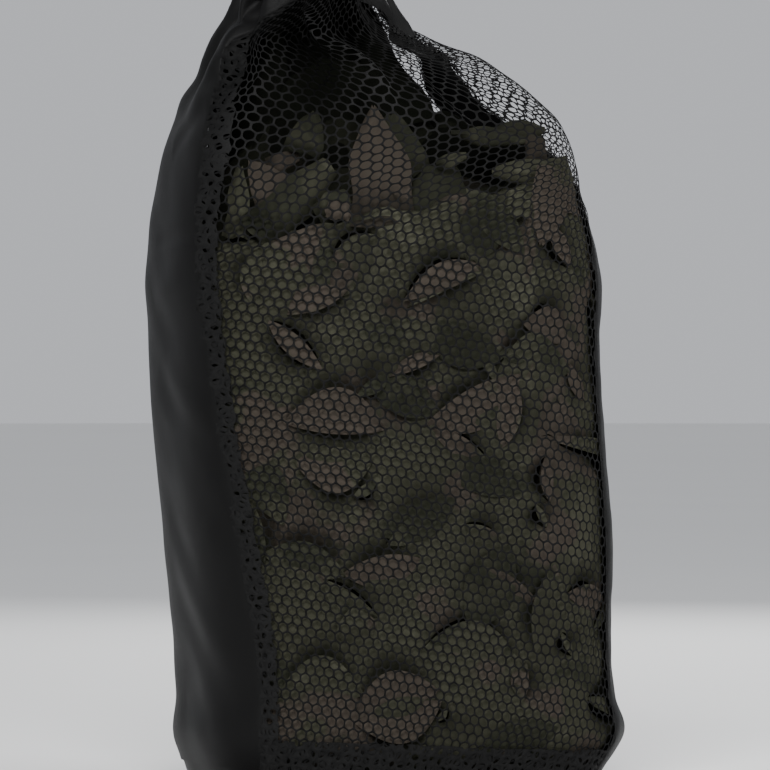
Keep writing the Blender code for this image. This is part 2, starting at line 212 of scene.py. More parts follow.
MAIN_PLEATS = table(
    Pleat,
    (-172.0, 9.0, 0.24, 0.345, 0.0),
    (-146.0, 9.0, 0.20, 0.335, 5.0),
    (-120.0, 8.0, 0.18, 0.350, 0.0),
    (-92.0, 9.0, 0.22, 0.345, -6.0),
    (-62.0, 9.0, 0.20, 0.350, -12.0),
    (-26.0, 10.0, 0.18, 0.345, -12.0),
    (4.0, 9.0, 0.14, 0.335, -6.0),
    (36.0, 9.0, 0.18, 0.350, -8.0),
    (72.0, 10.0, 0.30, 0.345, -40.0),
    (93.0, 7.0, 0.16, 0.345, 0.0),
    (114.0, 9.0, 0.22, 0.345, -10.0),
    (139.0, 9.0, 0.20, 0.335, -14.0),
    (164.0, 8.0, 0.18, 0.350, 0.0),
)
# Small pleats at even steps, each drawn between these shifts, widths, depths, starts and sways
PLEAT_STEP = 12.0
PLEAT_RANGES = ((-4.0, 4.0), (2.2, 4.2), (0.03, 0.075), (0.372, 0.408), (-9.0, 9.0))
SMALL_PLEATS = []
for step_angle in np.arange(-180.0, 180.0, PLEAT_STEP):
    shift, *drawn = (float(draws.uniform(*limits)) for limits in PLEAT_RANGES)
    SMALL_PLEATS.append(Pleat(float(step_angle + shift), *drawn))
PLEATS = (*MAIN_PLEATS, *SMALL_PLEATS)


class Crest(NamedTuple):
    """Heights of one top fold of the net, at places evenly spaced across the bag."""

    left: float
    left_rise: float
    leaf: float
    middle: float
    right_rise: float
    right: float


CRESTS = table(
    Crest,
    (0.299, 0.311, 0.321, 0.323, 0.345, 0.334),
    (0.306, 0.318, 0.324, 0.318, 0.330, 0.322),
    (0.308, 0.322, 0.330, 0.326, 0.334, 0.318),
    (0.312, 0.330, 0.338, 0.340, 0.336, 0.320),
    (0.320, 0.386, 0.404, 0.396, 0.348, 0.322),
    (0.314, 0.336, 0.348, 0.344, 0.376, 0.342),
    (0.316, 0.334, 0.334, 0.328, 0.336, 0.316),
    (0.310, 0.326, 0.334, 0.338, 0.328, 0.318),
    (0.300, 0.314, 0.322, 0.318, 0.324, 0.308),
)
# The front fold's crest, read off the picture in its pixels
FRONT_CREST = (
    *((224, 238), (246, 236), (262, 232), (284, 223), (295, 219), (301, 236), (322, 221), (355, 210)),
    *((385, 198), (394, 205), (427, 206), (436, 200), (468, 184), (480, 200), (491, 190), (507, 207)),
    *((526, 212), (534, 176), (548, 160), (564, 160), (576, 182), (592, 232)),
)


def smooth_step(low, high, value):
    share = np.clip((value - low) / (high - low), 0.0, 1.0)
    return share * share * (3.0 - 2.0 * share)


def smooth_curve(knots, values, places):
    """Values at places on a smooth curve through the knots."""
    places = np.clip(places, knots[0], knots[-1])
    slopes = np.gradient(values, knots)
    index = np.clip(np.searchsorted(knots, places, side="right") - 1, 0, len(knots) - 2)
    span = knots[index + 1] - knots[index]
    share = (places - knots[index]) / span
    rise = values[index + 1] - values[index]
    bend_in = slopes[index] * span - rise
    bend_out = rise - slopes[index + 1] * span
    blend = share * (1.0 - share) * ((1.0 - share) * bend_in + share * bend_out)
    return values[index] + rise * share + blend


def on_rows(rows, column, heights):
    """The column's values at heights, on a smooth curve through the rows."""
    knots = np.array([row.height for row in rows])
    return smooth_curve(knots, np.array([getattr(row, column) for row in rows]), heights)


def turned_from(angles, middle):
    """How far angles are from a middle one, from -180 to 180."""
    return (angles - middle + 180.0) % 360.0 - 180.0


def half_sizes(heights, drawn_in=1.0, inset=0.0):
    """Half the bag's width and depth, or those of what lies drawn in and inset from it."""
    half_width = BODY_WIDTH / 2.0 * on_rows(RINGS, "width", heights) * drawn_in - inset
    return half_width, BODY_DEPTH / 2.0 * on_rows(RINGS, "depth", heights) * drawn_in - inset


def ring_points(angles, heights, drawn_in=1.0, inset=0.0):
    turn = np.radians(angles)
    power = on_rows(RINGS, "squareness", heights)
    half_width, half_depth = half_sizes(heights, drawn_in, inset)
    across = np.abs(np.sin(turn)) / half_width
    along = np.abs(np.cos(turn)) / half_depth
    reach = (across**power + along**power) ** (-1.0 / power)
    x = on_rows(RINGS, "lean", heights) + reach * np.sin(turn)
    return np.stack((x, -reach * np.cos(turn), heights + 0.0 * reach), axis=-1)


def hull(angles, heights):
    """The bag's surface without pleats."""
    return ring_points(angles, heights)


def pleat_share(angles, heights):
    """How much of the reach the pleats leave."""
    share = np.ones(np.broadcast(angles, heights).shape)
    for pleat in PLEATS:
        grown = smooth_step(pleat.start, CASING_EDGE, heights)
        middle = pleat.angle + pleat.sway * (CASING_EDGE - heights) / (CASING_EDGE - pleat.start)
        away = turned_from(angles, middle)
        share = share - pleat.depth * grown * np.exp(-((away / pleat.width) ** 2))
    return share


def bag(angles, heights):
    """The bag's own surface."""
    points = hull(angles, heights)
    share = pleat_share(angles, heights)
    lean = on_rows(RINGS, "lean", heights)
    points[..., 0] = lean + (points[..., 0] - lean) * share
    points[..., 1] *= share
    return points


def net_draw_in(heights):
    """The net's size as a share of the bag's: it is drawn in at its shoulder and its foot."""
    shoulder = 1.0 - SHOULDER_DRAW_IN * smooth_step(SHOULDER_START, SHOULDER_END, heights)
    return shoulder * (1.0 - FOOT_DRAW_IN * (1.0 - np.clip(heights / FOOT_HEIGHT, 0.0, 1.0)) ** 2)


def bundle(angles, heights):
    """The outer face of the folded net, inside the bag."""
    return ring_points(angles, heights, net_draw_in(heights), NET_INSET)


def raised(surface, angles, heights, rise):
    """Points of a surface, each moved out along the surface's normal by its rise."""
    round_step = surface(angles + STEP_ANGLE, heights) - surface(angles - STEP_ANGLE, heights)
    up_step = surface(angles, heights + STEP_HEIGHT) - surface(angles, heights - STEP_HEIGHT)
    normal = np.cross(round_step, up_step)
    normal /= np.linalg.norm(normal, axis=-1, keepdims=True)
    return surface(angles, heights) + normal * np.asarray(rise)[..., None]


def run_lengths(points):
    """Distances along a run of points, from its first."""
    return np.concatenate(([0.0], np.cumsum(np.linalg.norm(np.diff(points, axis=0), axis=1))))


GIRTH_ANGLES = np.arange(-180.0, 541.0, 1.0)
GIRTH_POINTS = hull(GIRTH_ANGLES, np.full(GIRTH_ANGLES.shape, GIRTH_LEVEL))
GIRTHS = run_lengths(GIRTH_POINTS)


def left_seam(heights):
    return on_rows(SEAMS, "left", heights)


def right_seam(heights):
    return on_rows(SEAMS, "right", heights)


def right_back_seam(heights):
    return on_rows(SEAMS, "right_back", heights)


def left_back_seam(heights):
    return np.full(np.shape(heights), LEFT_BACK_SEAM)


def between_seams(start_edge, end_edge, shares, heights):
    """Angles at shares of the way round the cloth from one seam to the next."""
    start, end = start_edge(heights), end_edge(heights)
    first = np.interp(start, GIRTH_ANGLES, GIRTHS)
    last = np.interp(np.where(end > start, end, end + 360.0), GIRTH_ANGLES, GIRTHS)
    return np.interp(first + (last - first) * shares, GIRTHS, GIRTH_ANGLES)


def base_seam(angles):
    return BASE_SEAM_HEIGHT + BASE_SEAM_SLOPE * BODY_WIDTH / 2.0 * np.sin(np.radians(angles))


def casing_edge(angles):
    return CASING_EDGE - LOBE_DROP * np.exp(-((turned_from(angles, LOBE_ANGLE) / LOBE_WIDTH) ** 2))


def frame_shift():
    """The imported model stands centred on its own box: how far this file's places are from it."""
    low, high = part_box("base_panel")
    angles = np.arange(0.0, 360.0, 2.0)
    outline = bag(angles, base_seam(angles) - SEAM_GAP / 2.0)
    middle = (outline.min(axis=0) + outline.max(axis=0)) / 2.0
    return np.array([(low[0] + high[0]) / 2.0 - middle[0], (low[1] + high[1]) / 2.0 - middle[1], 0.0])


SHIFT = frame_shift()


# --- Finishes


class Wire:
    """A socket of a material's nodes. Arithmetic on it adds Math nodes."""

    def __init__(self, tree, socket):
        self.tree = tree
        self.socket = socket

    def math(self, operation, *values):
        node = self.tree.nodes.new("ShaderNodeMath")
        node.operation = operation
        for slot, value in zip(node.inputs, values):
            if isinstance(value, Wire):
                self.tree.links.new(value.socket, slot)
            else:
                slot.default_value = value
        return Wire(self.tree, node.outputs[0])

    def __add__(self, other):
        return self.math("ADD", self, other)

    __radd__ = __add__

    def __sub__(self, other):
        return self.math("SUBTRACT", self, other)

    def __mul__(self, other):
        return self.math("MULTIPLY", self, other)

    __rmul__ = __mul__

    def steps(self, low, high):
        """0 below low, 1 above high, and smooth between them."""
        node = self.tree.nodes.new("ShaderNodeMapRange")
        node.interpolation_type = "SMOOTHSTEP"
        self.tree.links.new(self.socket, node.inputs["Value"])
        node.inputs["From Min"].default_value = low
        node.inputs["From Max"].default_value = high
        return Wire(self.tree, node.outputs["Result"])

    def sine(self):
        return self.math("SINE", self)


class Finish:
    """A material on one Principled BSDF. Sockets that are the same all over are given as constants."""

    def __init__(self, name, **constants):
        self.material = bpy.data.materials.new(name)
        self.material.use_nodes = True
        self.tree = self.material.node_tree
        self.shader = self.tree.nodes["Principled BSDF"]
        for socket, value in constants.items():
            self.shader.inputs[socket.replace("_", " ")].default_value = value

    def node(self, kind, settings=None, inputs=None, output=0):
        made = self.tree.nodes.new(kind)
        for setting, value in (settings or {}).items():
            setattr(made, setting, value)
        for socket, value in (inputs or {}).items():
            if isinstance(value, Wire):
                self.tree.links.new(value.socket, made.inputs[socket])
            else:
                made.inputs[socket].default_value = value
        return Wire(self.tree, made.outputs[output])

    def feed(self, socket, wire):
        self.tree.links.new(wire.socket, self.shader.inputs[socket])

    def cloth_place(self):
        return self.node("ShaderNodeUVMap", {"uv_map": "cloth"})

    def object_place(self):
        return self.node("ShaderNodeTexCoord", output="Object")

    def attribute(self, name):
        return self.node("ShaderNodeAttribute", {"attribute_name": name}, None, "Fac")

    def noise(self, place, scale, detail=2.0, roughness=0.5):
        inputs = {"Vector": place, "Scale": scale, "Detail": detail, "Roughness": roughness}
        return self.node("ShaderNodeTexNoise", None, inputs, "Fac")

    def mix(self, share, first, second):
        return self.node("ShaderNodeMix", {"data_type": "RGBA"}, {0: share, 6: first, 7: second}, 2)

    def split(self, place):
        node = self.node("ShaderNodeSeparateXYZ", None, {"Vector": place}).socket.node
        return [Wire(self.tree, output) for output in node.outputs]

    def bump(self, height, distance, strength=1.0):
        inputs = {"Height": height, "Distance": distance, "Strength": strength}
        self.feed("Normal", self.node("ShaderNodeBump", None, inputs))


def colour(red, green, blue):
    return (red, green, blue, 1.0)


def grey(value):
    return colour(value, value, value)


WEAVE_PITCH = 0.00045
NET_WEAVE_PITCH = 0.00072

# Colours of the print; of the dark leaves, partly dark print and partly painted shade; and of the
# painted shade beside the leaves, in the folds and deep in the net
GREEN = colour(0.0305, 0.0308, 0.0212)
PALE_GREEN = colour(0.0425, 0.0425, 0.0300)
BROWN = colour(0.0400, 0.0330, 0.0268)
DARK_GREEN = colour(0.018, 0.0192, 0.0130)
SPECKS = colour(0.048, 0.047, 0.036)
DARK_LEAF_PRINT_AND_SHADE = colour(0.0125, 0.0132, 0.0094)
PAINTED_DEEP_SHADE = colour(0.0007, 0.0008, 0.0006)
PAINTED_SHADE = colour(0.0040, 0.0044, 0.0030)


def weave(finish, place, pitch):
    """Height of a plain weave, from 0 to 1."""
    across, up, _ = finish.split(place)
    turns = 2.0 * math.pi / pitch
    warp = (across * turns).sine()
    weft = (up * turns).sine()
    return warp * weft * 0.5 + 0.5


def camouflage_finish():
    """Matte woven cloth, printed with a generic woodland pattern of low contrast.

    Its tone shifts the print towards brown or green. A tone below -2 is a dark leaf, partly dark print and
    partly painted shade, and one near -3 is painted deep shade on cloth that lies in the dark. Its shade is
    painted shade, which darkens it beside the leaves, in the hollows, on the inner folds and on the blades.
    """
    finish = Finish("camouflage_cloth", Specular_IOR_Level=0.02)
    place = finish.cloth_place()
    tone = finish.attribute("tone")
    patches = finish.noise(place, 17.0, 3.0, 0.45)
    blots = finish.noise(place, 26.0, 3.5, 0.5)
    specks = finish.noise(place, 240.0, 2.0, 0.6)
    layers = (
        ((patches + tone * 0.16).steps(0.540, 0.575), BROWN),
        ((blots - tone * 0.10).steps(0.60, 0.63) * 0.8, DARK_GREEN),
        (specks.steps(0.35, 0.75) * 0.18, SPECKS),
        # partly dark print and partly painted shade, on the dark leaves of tone below -2
        ((tone * -1.0).steps(1.9, 2.4) * 0.25, DARK_LEAF_PRINT_AND_SHADE),
        # painted deep shade: near black, for cloth of a tone near -3 that lies in the dark
        ((tone * -1.0).steps(2.7, 2.9), PAINTED_DEEP_SHADE),
        # painted shade beside the leaves, in the hollows, on the inner folds and on the blades
        (finish.attribute("shade"), PAINTED_SHADE),
    )
    base = finish.mix((blots - tone * 0.05).steps(0.40, 0.37), GREEN, PALE_GREEN)
    for share, print_colour in layers:
        base = finish.mix(share, base, print_colour)
    finish.feed("Base Color", base)
    finish.feed("Roughness", 0.80 + specks * 0.14)
    finish.bump(weave(finish, place, NET_WEAVE_PITCH) * 0.6 + specks * 0.9, 0.00025, 0.8)
    return finish.material


def mesh_finish():
    """Knitted black polyester with a slight gloss on each strand, lightened by painted sheen and darkened by
    painted shade where its attribute says.
    """
    finish = Finish("black_mesh", Specular_IOR_Level=0.03)
    place = finish.cloth_place()
    painted_sheen_and_shade = finish.attribute("painted_sheen_and_shade")
    yarn = finish.noise(place, 2600.0, 2.0, 0.6)
    base = finish.mix(finish.noise(place, 240.0, 2.0, 0.6).steps(0.35, 0.65), grey(0.0040), grey(0.0072))
    # painted sheen lightens the yarn where the attribute is above 0, and painted shade darkens it to near
    # black where it is below 0
    base = finish.mix(painted_sheen_and_shade, base, grey(0.0125))
    finish.feed("Base Color", finish.mix(painted_sheen_and_shade * -1.0, base, grey(0.0005)))
    finish.feed("Roughness", 0.42 + yarn * 0.25)
    finish.bump(yarn, 0.0002, 0.7)
    return finish.material


def nylon_finish():
    """Tightly woven dark nylon with a satin sheen, darkened towards its foot by painted shade."""
    finish = Finish("black_nylon", Specular_IOR_Level=0.07)
    place = finish.cloth_place()
    cloud = finish.noise(place, 22.0, 3.0, 0.5)
    grain = finish.noise(place, 1400.0, 2.0, 0.6)
    # painted shade: the nylon is darkened to near black towards its foot
    above_painted_foot_shade = finish.split(finish.object_place())[2].steps(0.010, 0.034)
    base = finish.mix(cloud, grey(0.0036), grey(0.0056))
    finish.feed("Base Color", finish.mix(above_painted_foot_shade, grey(0.0008), base))
    finish.feed("Roughness", 0.36 + cloud * 0.12 + grain * 0.08)
    finish.bump(weave(finish, place, WEAVE_PITCH) * 0.5 + grain * 0.5, 0.00012, 0.6)
    return finish.material


def floor_finish():
    finish = Finish("pale_floor", Roughness=0.7)
    cloud = finish.noise(finish.object_place(), 3.0, 2.0, 0.5)
    finish.feed("Base Color", finish.mix(cloud, colour(0.80, 0.80, 0.79), colour(0.83, 0.83, 0.82)))
    return finish.material


# --- Flat cloth laid on a surface


def in_scene(name, data):
    made = bpy.data.objects.new(name, data)
    bpy.context.scene.collection.objects.link(made)
    return made


def to_mesh(name, shape):
    """A mesh of the shape, which is used up."""
    mesh = bpy.data.meshes.new(name)
    shape.to_mesh(mesh)
    shape.free()
    return mesh


def everything(shape):
    return shape.verts[:] + shape.edges[:] + shape.faces[:]


def vertices(geometry):
    return [item for item in geometry if isinstance(item, bmesh.types.BMVert)]


def flat_grid(columns, rows):
    """A sheet from 0 to 1 across and up."""
    shape = bmesh.new()
    bmesh.ops.create_grid(shape, x_segments=columns, y_segments=rows, size=0.5)
    bmesh.ops.translate(shape, verts=shape.verts, vec=(0.5, 0.5, 0.0))
    return shape


def weld(mesh):
    """Join the mesh's points that lie together, where a sheet closes on itself."""
    shape = bmesh.new()
    shape.from_mesh(mesh)
    bmesh.ops.remove_doubles(shape, verts=shape.verts, dist=WELD)
    shape.to_mesh(mesh)
    shape.free()


def set_attribute(made, name, values):
    made.data.attributes.new(name, "FLOAT", "POINT").data.foreach_set("value", values)


def cloth_object(name, node, slot, shape, place):
    """Lay flat cloth where place says, in the stead of a node, and give it its slot's finish.

    place turns flat points into placed ones and the cloth's own coordinates, in metres.
    """
    mesh = to_mesh(name, shape)
    flat = np.empty(len(mesh.vertices) * 3)
    mesh.vertices.foreach_get("co", flat)
    placed, cut = place(flat.reshape(-1, 3))
    mesh.vertices.foreach_set("co", (placed + SHIFT).ravel())
    corners = np.empty(len(mesh.loops), dtype=np.int64)
    mesh.loops.foreach_get("vertex_index", corners)
    mesh.uv_layers.new(name="cloth").uv.foreach_set("vector", cut[corners].ravel())
    mesh.materials.append(FINISHES[slot])
    mesh.shade_smooth()
    mesh.update()
    made = in_scene(name, mesh)
    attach(made, "root")
    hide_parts(node)
    return made


def seen(x, y):
    """A place read off the picture: millimetres across from the middle of the base, and up."""
    return ((x - PICTURE_MIDDLE) * PIXEL, (PICTURE_FLOOR - y) * PIXEL)


def across_picture(points):
    """How far across the picture points on the bag lie."""
    return points[:, 0] * math.cos(VIEW_TURN) + points[:, 1] * math.sin(VIEW_TURN)


def read_across(across, shown, values):
    """Values at places across the picture, from those of points that are shown there."""
    order = np.argsort(shown)
    return np.interp(across, shown[order], values[order])


class Crease(NamedTuple):
    """A soft ridge, or a trough where its rise is negative, between two places on the bag."""

    angle: float
    height: float
    to_angle: float
    to_height: float
    width: float
    rise: float


CREASE_TAPER = 0.8
WAVE_SPREAD = (0.7, 1.6)  # of the waves' lengths, as shares


def crease_relief(creases, angles, heights):
    """How far the creases raise the cloth."""
    girth = np.interp(angles, GIRTH_ANGLES, GIRTHS)
    relief = np.zeros(np.shape(angles))
    for crease in creases:
        start = np.array([np.interp(crease.angle, GIRTH_ANGLES, GIRTHS), crease.height])
        end = np.array([np.interp(crease.to_angle, GIRTH_ANGLES, GIRTHS), crease.to_height])
        along = end - start
        length = np.linalg.norm(along)
        along /= length
        away_x, away_y = girth - start[0], heights - start[1]
        run = (away_x * along[0] + away_y * along[1]) / length
        side = away_x * along[1] - away_y * along[0]
        ends = np.sin(np.pi * np.clip(run, 0.0, 1.0)) ** CREASE_TAPER
        relief += crease.rise * ends * np.exp(-((side / crease.width) ** 2))
    return relief


def waves(across, up, length, rise, count, seed):
    """Soft uneven waves of about a length."""
    pick = np.random.default_rng(seed)
    relief = np.zeros(np.shape(across))
    for _ in range(count):
        turn = pick.uniform(0.0, math.pi)
        step = 2.0 * math.pi / (length * pick.uniform(*WAVE_SPREAD))
        phase = pick.uniform(0.0, 2.0 * math.pi)
        relief += np.sin((across * math.cos(turn) + up * math.sin(turn)) * step + phase)
    return relief * rise / math.sqrt(count)


def spot(x, y):
    """The angle and height of the place on the bag that the picture shows at a pixel."""
    across, height = (value / 1000.0 for value in seen(x, y))
    angles = np.arange(-106.0, 71.0, 1.0)  # the part of the bag that faces the camera
    shown = across_picture(hull(angles, np.full(angles.shape, height)))
    return float(read_across(across, shown, angles)), height


def creases_seen(*rows):
    """Creases read off the picture: the two pixels they run between, their width and their rise."""
    return tuple(Crease(*spot(*row[:2]), *spot(*row[2:4]), *row[4:]) for row in rows)


# --- The knitted mesh panels


def knitted_cell(hole_share):
    """One hexagonal cell: a ring of strand round a rounded hole, its outer edge raised."""
    shape = bmesh.new()
    outer = bmesh.ops.create_circle(shape, segments=CELL_SIDES, radius=MESH_PITCH / 2.0)["verts"]
    hole = (MESH_PITCH - STRAND_WIDTH) / 2.0 * hole_share
    inner = bmesh.ops.create_circle(shape, segments=CELL_SIDES, radius=hole)["verts"]
    for index, vertex in enumerate(outer):
        vertex.co *= 1.0 / math.cos(math.pi / 6.0) if index % 2 == 0 else 1.0
        vertex.co.z = STRAND_RISE
    for index, vertex in enumerate(inner):
        vertex.co *= HOLE_CORNER if index % 2 == 0 else 1.0
    bmesh.ops.bridge_loops(shape, edges=shape.edges[:])
    return shape


def repeat(shape, step, count):
    """Copy all that is in the shape, count times in all, each copy one step on."""
    first = everything(shape)
    for index in range(1, count):
        copied = bmesh.ops.duplicate(shape, geom=first)["geom"]
        bmesh.ops.translate(shape, verts=vertices(copied), vec=step * index)


def cut_to(shape, low, high):
    """Trim flat cloth to a rectangle."""
    for axis in (0, 1):
        for edge, outward in ((low, -1.0), (high, 1.0)):
            point, normal = Vector(), Vector()
            point[axis], normal[axis] = edge[axis], outward
            geometry = everything(shape)
            bmesh.ops.bisect_plane(
                shape, geom=geometry, dist=1e-6, plane_co=point, plane_no=normal, clear_outer=True
            )


def knitted_sheet(low, high, hole_share, turn, phase):
    """Flat knitted mesh over a rectangle, its rows turned by some degrees."""
    low, high = np.array(low), np.array(high)
    size, middle = high - low, (low + high) / 2.0
    turned = abs(math.sin(math.radians(turn)))
    row = MESH_PITCH * math.sqrt(3.0) / 2.0
    columns = math.ceil((size[0] + size[1] * turned) / MESH_PITCH) + 3
    pairs = math.ceil((size[1] + size[0] * turned) / row / 2.0) + 2
    shape = knitted_cell(hole_share)
    repeat(shape, Vector((MESH_PITCH / 2.0, row, 0.0)), 2)
    repeat(shape, Vector((MESH_PITCH, 0.0, 0.0)), columns)
    repeat(shape, Vector((0.0, 2.0 * row, 0.0)), pairs)
    bmesh.ops.remove_doubles(shape, verts=shape.verts, dist=2.0 * WELD)
    start = ((phase - columns / 2.0) * MESH_PITCH, phase * MESH_PITCH - pairs * row, 0.0)
    bmesh.ops.translate(shape, verts=shape.verts, vec=start)
    bmesh.ops.scale(shape, verts=shape.verts, vec=(1.0, ROW_STRETCH, 1.0))
    spin = Matrix.Rotation(math.radians(turn), 3, "Z")
    bmesh.ops.rotate(shape, verts=shape.verts, cent=(0.0, 0.0, 0.0), matrix=spin)
    bmesh.ops.translate(shape, verts=shape.verts, vec=(middle[0], middle[1], 0.0))
    cut_to(shape, low, high)
    return shape


def join_flat(shape, other, rise):
    """Add another flat sheet to the shape, raised."""
    bmesh.ops.translate(other, verts=other.verts, vec=(0.0, 0.0, rise))
    kept = to_mesh("joined", other)
    shape.from_mesh(kept)
    bpy.data.meshes.remove(kept)


class PanelMap:
    """Where a flat panel lies on the bag: across as a share between two seams, up along the cloth."""

    SHARES = 49
    LEVELS = 300
    WIDTH_LEVEL = 0.2  # where the panel's width is measured

    def __init__(self, start_edge, end_edge):
        self.start_edge = start_edge
        self.end_edge = end_edge
        self.shares = np.linspace(0.0, 1.0, self.SHARES)
        tops = np.linspace(0.0, 1.0, self.LEVELS)
        self.heights = []
        self.lengths = []
        for share in self.shares:
            heights = tops * CASING_EDGE
            angles = between_seams(start_edge, end_edge, share, heights)
            foot = base_seam(angles[0])
            heights = foot + (CASING_EDGE - foot) * tops
            angles = between_seams(start_edge, end_edge, share, heights)
            self.heights.append(heights)
            self.lengths.append(run_lengths(hull(angles, heights)))
        level = np.full(self.SHARES, self.WIDTH_LEVEL)
        angles = between_seams(start_edge, end_edge, self.shares, level)
        self.width = float(run_lengths(hull(angles, level))[-1])
        self.length = float(max(column[-1] for column in self.lengths))

    def height_at(self, shares, ups):
        """Heights at distances up the cloth."""
        place = np.clip(shares, 0.0, 1.0) * (self.SHARES - 1)
        index = np.minimum(place.astype(int), self.SHARES - 2)
        blend = place - index
        heights = np.empty(shares.shape)
        for column in range(self.SHARES - 1):
            chosen = index == column
            left = np.interp(ups[chosen], self.lengths[column], self.heights[column])
            right = np.interp(ups[chosen], self.lengths[column + 1], self.heights[column + 1])
            heights[chosen] = left + (right - left) * blend[chosen]
        return heights

    def top_at(self, shares):
        """How far up the cloth the casing's edge is."""
        ends = np.array([column[-1] for column in self.lengths])
        return np.interp(shares, self.shares, ends)


FRONT_CREASES = creases_seen(
    (308, 10, 342, 60, 0.0040, 0.0050), (326, 40, 398, 108, 0.0055, 0.0062),
    (372, 66, 450, 130, 0.0070, 0.0035), (300, 30, 330, 100, 0.0060, -0.0045),
    (262, 40, 242, 140, 0.0050, 0.0040), (404, 30, 470, 90, 0.0050, 0.0035),
    (420, 70, 500, 150, 0.0070, -0.0035),
)
# Where painted sheen lightens the yarn, along the raised fold, over the left shoulder and down the right
# seam, and where painted shade darkens it instead
PAINTED_SHEEN_PLACES = creases_seen(
    (306, -6, 344, 62, 0.0030, 0.9), (318, 22, 402, 112, 0.0050, 0.9), (346, 60, 448, 150, 0.0100, 0.5),
    (262, 0, 228, 180, 0.0120, 1.0), (300, 125, 392, 92, 0.0090, 0.5), (400, 40, 470, 120, 0.0100, 0.35),
    (292, 0, 318, 140, 0.0200, -1.2), (352, 0, 372, 70, 0.0120, -0.9),
) + (Crease(62.0, -0.10, 63.5, 0.48, 0.0085, 0.9),)
# Widths of the hem and of the side panel's lap over it, by height. The left seam's hem shows as a wide
# band, and the right seam's is turned under.
HEM_HEIGHTS = (0.0, 0.10, 0.17, 0.30, 0.36, 0.44)
LEFT_HEMS = (0.0122, 0.0130, 0.0155, 0.0150, 0.0126, 0.0095)
LEFT_LAPS = (0.0018, 0.0024, 0.0050, 0.0045, 0.0022, 0.0010)
RIGHT_HEM = 0.0024
BACK_CREASES = table(
    Crease,
    (176.0, 0.425, 150.0, 0.372, 0.006, 0.0045),
    (196.0, 0.420, 215.0, 0.365, 0.006, 0.0045),
)


class Band(NamedTuple):
    """A rectangle of a panel's flat mesh: the open cloth, or a layer of its doubled hem."""

    low: tuple
    high: tuple
    hole_share: float
    turn: float
    phase: float
    rise: float
    painted_light_and_shade: float


def knitted_panel(name, node, start_edge, end_edge, turn, creases, seed):
    """A mesh panel with its doubled hem along both seams and its foot."""
    cloth = PanelMap(start_edge, end_edge)
    width, length = cloth.width, cloth.length
    front = start_edge is left_seam
    left_hem = LEFT_HEMS if front else (RIGHT_HEM,) * len(HEM_HEIGHTS)
    along_left, along_foot = ((0.0, 0.0), (HEM_WIDTH, length)), ((0.0, 0.0), (width, FOOT_HEM_WIDTH))
    along_right = ((width - HEM_WIDTH, 0.0), (width, length))
    bands = (
        Band((0.0, 0.0), (width, length), 1.0 if front else BACK_HOLE, 0.0, 0.0, 0.0, 0.0),
        Band(*along_left, HEM_HOLE, 3.0, 0.37, HEM_RISE, SEAM_PAINTED_SHEEN),
        Band(*along_left, HEM_HOLE, 19.0, 0.11, HEM_RISE * 0.5, SEAM_PAINTED_SHEEN),
        Band(*along_right, HEM_HOLE, 3.0, 0.57, HEM_RISE, 1.0),
        Band(*along_foot, HEM_HOLE, 3.0, 0.77, HEM_RISE, FOOT_PAINTED_SHEEN),
        Band(*along_foot, HEM_HOLE, -21.0, 0.27, HEM_RISE * 0.5, FOOT_PAINTED_SHEEN),
    )
    shape = bmesh.new()
    counts = []
    for band in bands:
        sheet = knitted_sheet(band.low, band.high, band.hole_share, turn + band.turn, band.phase)
        beyond = [vertex for vertex in sheet.verts if vertex.co.y > cloth.top_at(vertex.co.x / width)]
        bmesh.ops.delete(sheet, geom=beyond, context="VERTS")
        counts.append(len(sheet.verts))
        join_flat(shape, sheet, band.rise)
    numbers = np.repeat(np.arange(len(bands)), counts)
    painted_light_and_shade = np.zeros(len(numbers))

    def hem_waves(across, up, kind, own_seed):
        return np.where(numbers > 0, waves(across, up, *kind, own_seed), 0.0)

    def place(flat):
        across, up, rise = flat[:, 0].copy(), flat[:, 1], flat[:, 2]
        left = (numbers == 1) | (numbers == 2)
        across[left] *= np.interp(up[left] * CASING_EDGE / length, HEM_HEIGHTS, left_hem) / HEM_WIDTH
        right = numbers == 3
        across[right] = width - (width - across[right]) * RIGHT_HEM / HEM_WIDTH
        knit = waves(across, up, *KNIT_WANDER, seed) + hem_waves(across, up, HEM_WANDER, seed + 5)
        shares = np.clip((across + knit) / width, 0.0, 1.0)
        heights = cloth.height_at(shares, np.maximum(up + waves(across, up, *ROW_WANDER, seed + 1), 0.0))
        angles = between_seams(start_edge, end_edge, shares, heights)
        lift = rise + waves(across, up, *MESH_WAVES, seed + 2) + hem_waves(across, up, HEM_WAVES, seed + 3)
        lift = lift + crease_relief(creases, angles, heights)
        # painted sheen and painted shade on the front panel's yarn, its hems included
        if front:
            hem_painted_sheen = np.array([band.painted_light_and_shade for band in bands])[numbers]
            hem_painted_sheen = hem_painted_sheen * (1.0 - smooth_step(*PAINTED_SHEEN_FADE, heights))
            painted_light_and_shade[:] = np.clip(crease_relief(PAINTED_SHEEN_PLACES, angles, heights) + hem_painted_sheen, -1.0, 1.0)
        return raised(bag, angles, heights, lift), np.stack((across, up), axis=-1)

    made = cloth_object(name, node, "black_mesh", shape, place)
    set_attribute(made, "painted_sheen_and_shade", painted_light_and_shade)
    YARN_SHARE * width * length


# --- The nylon panels

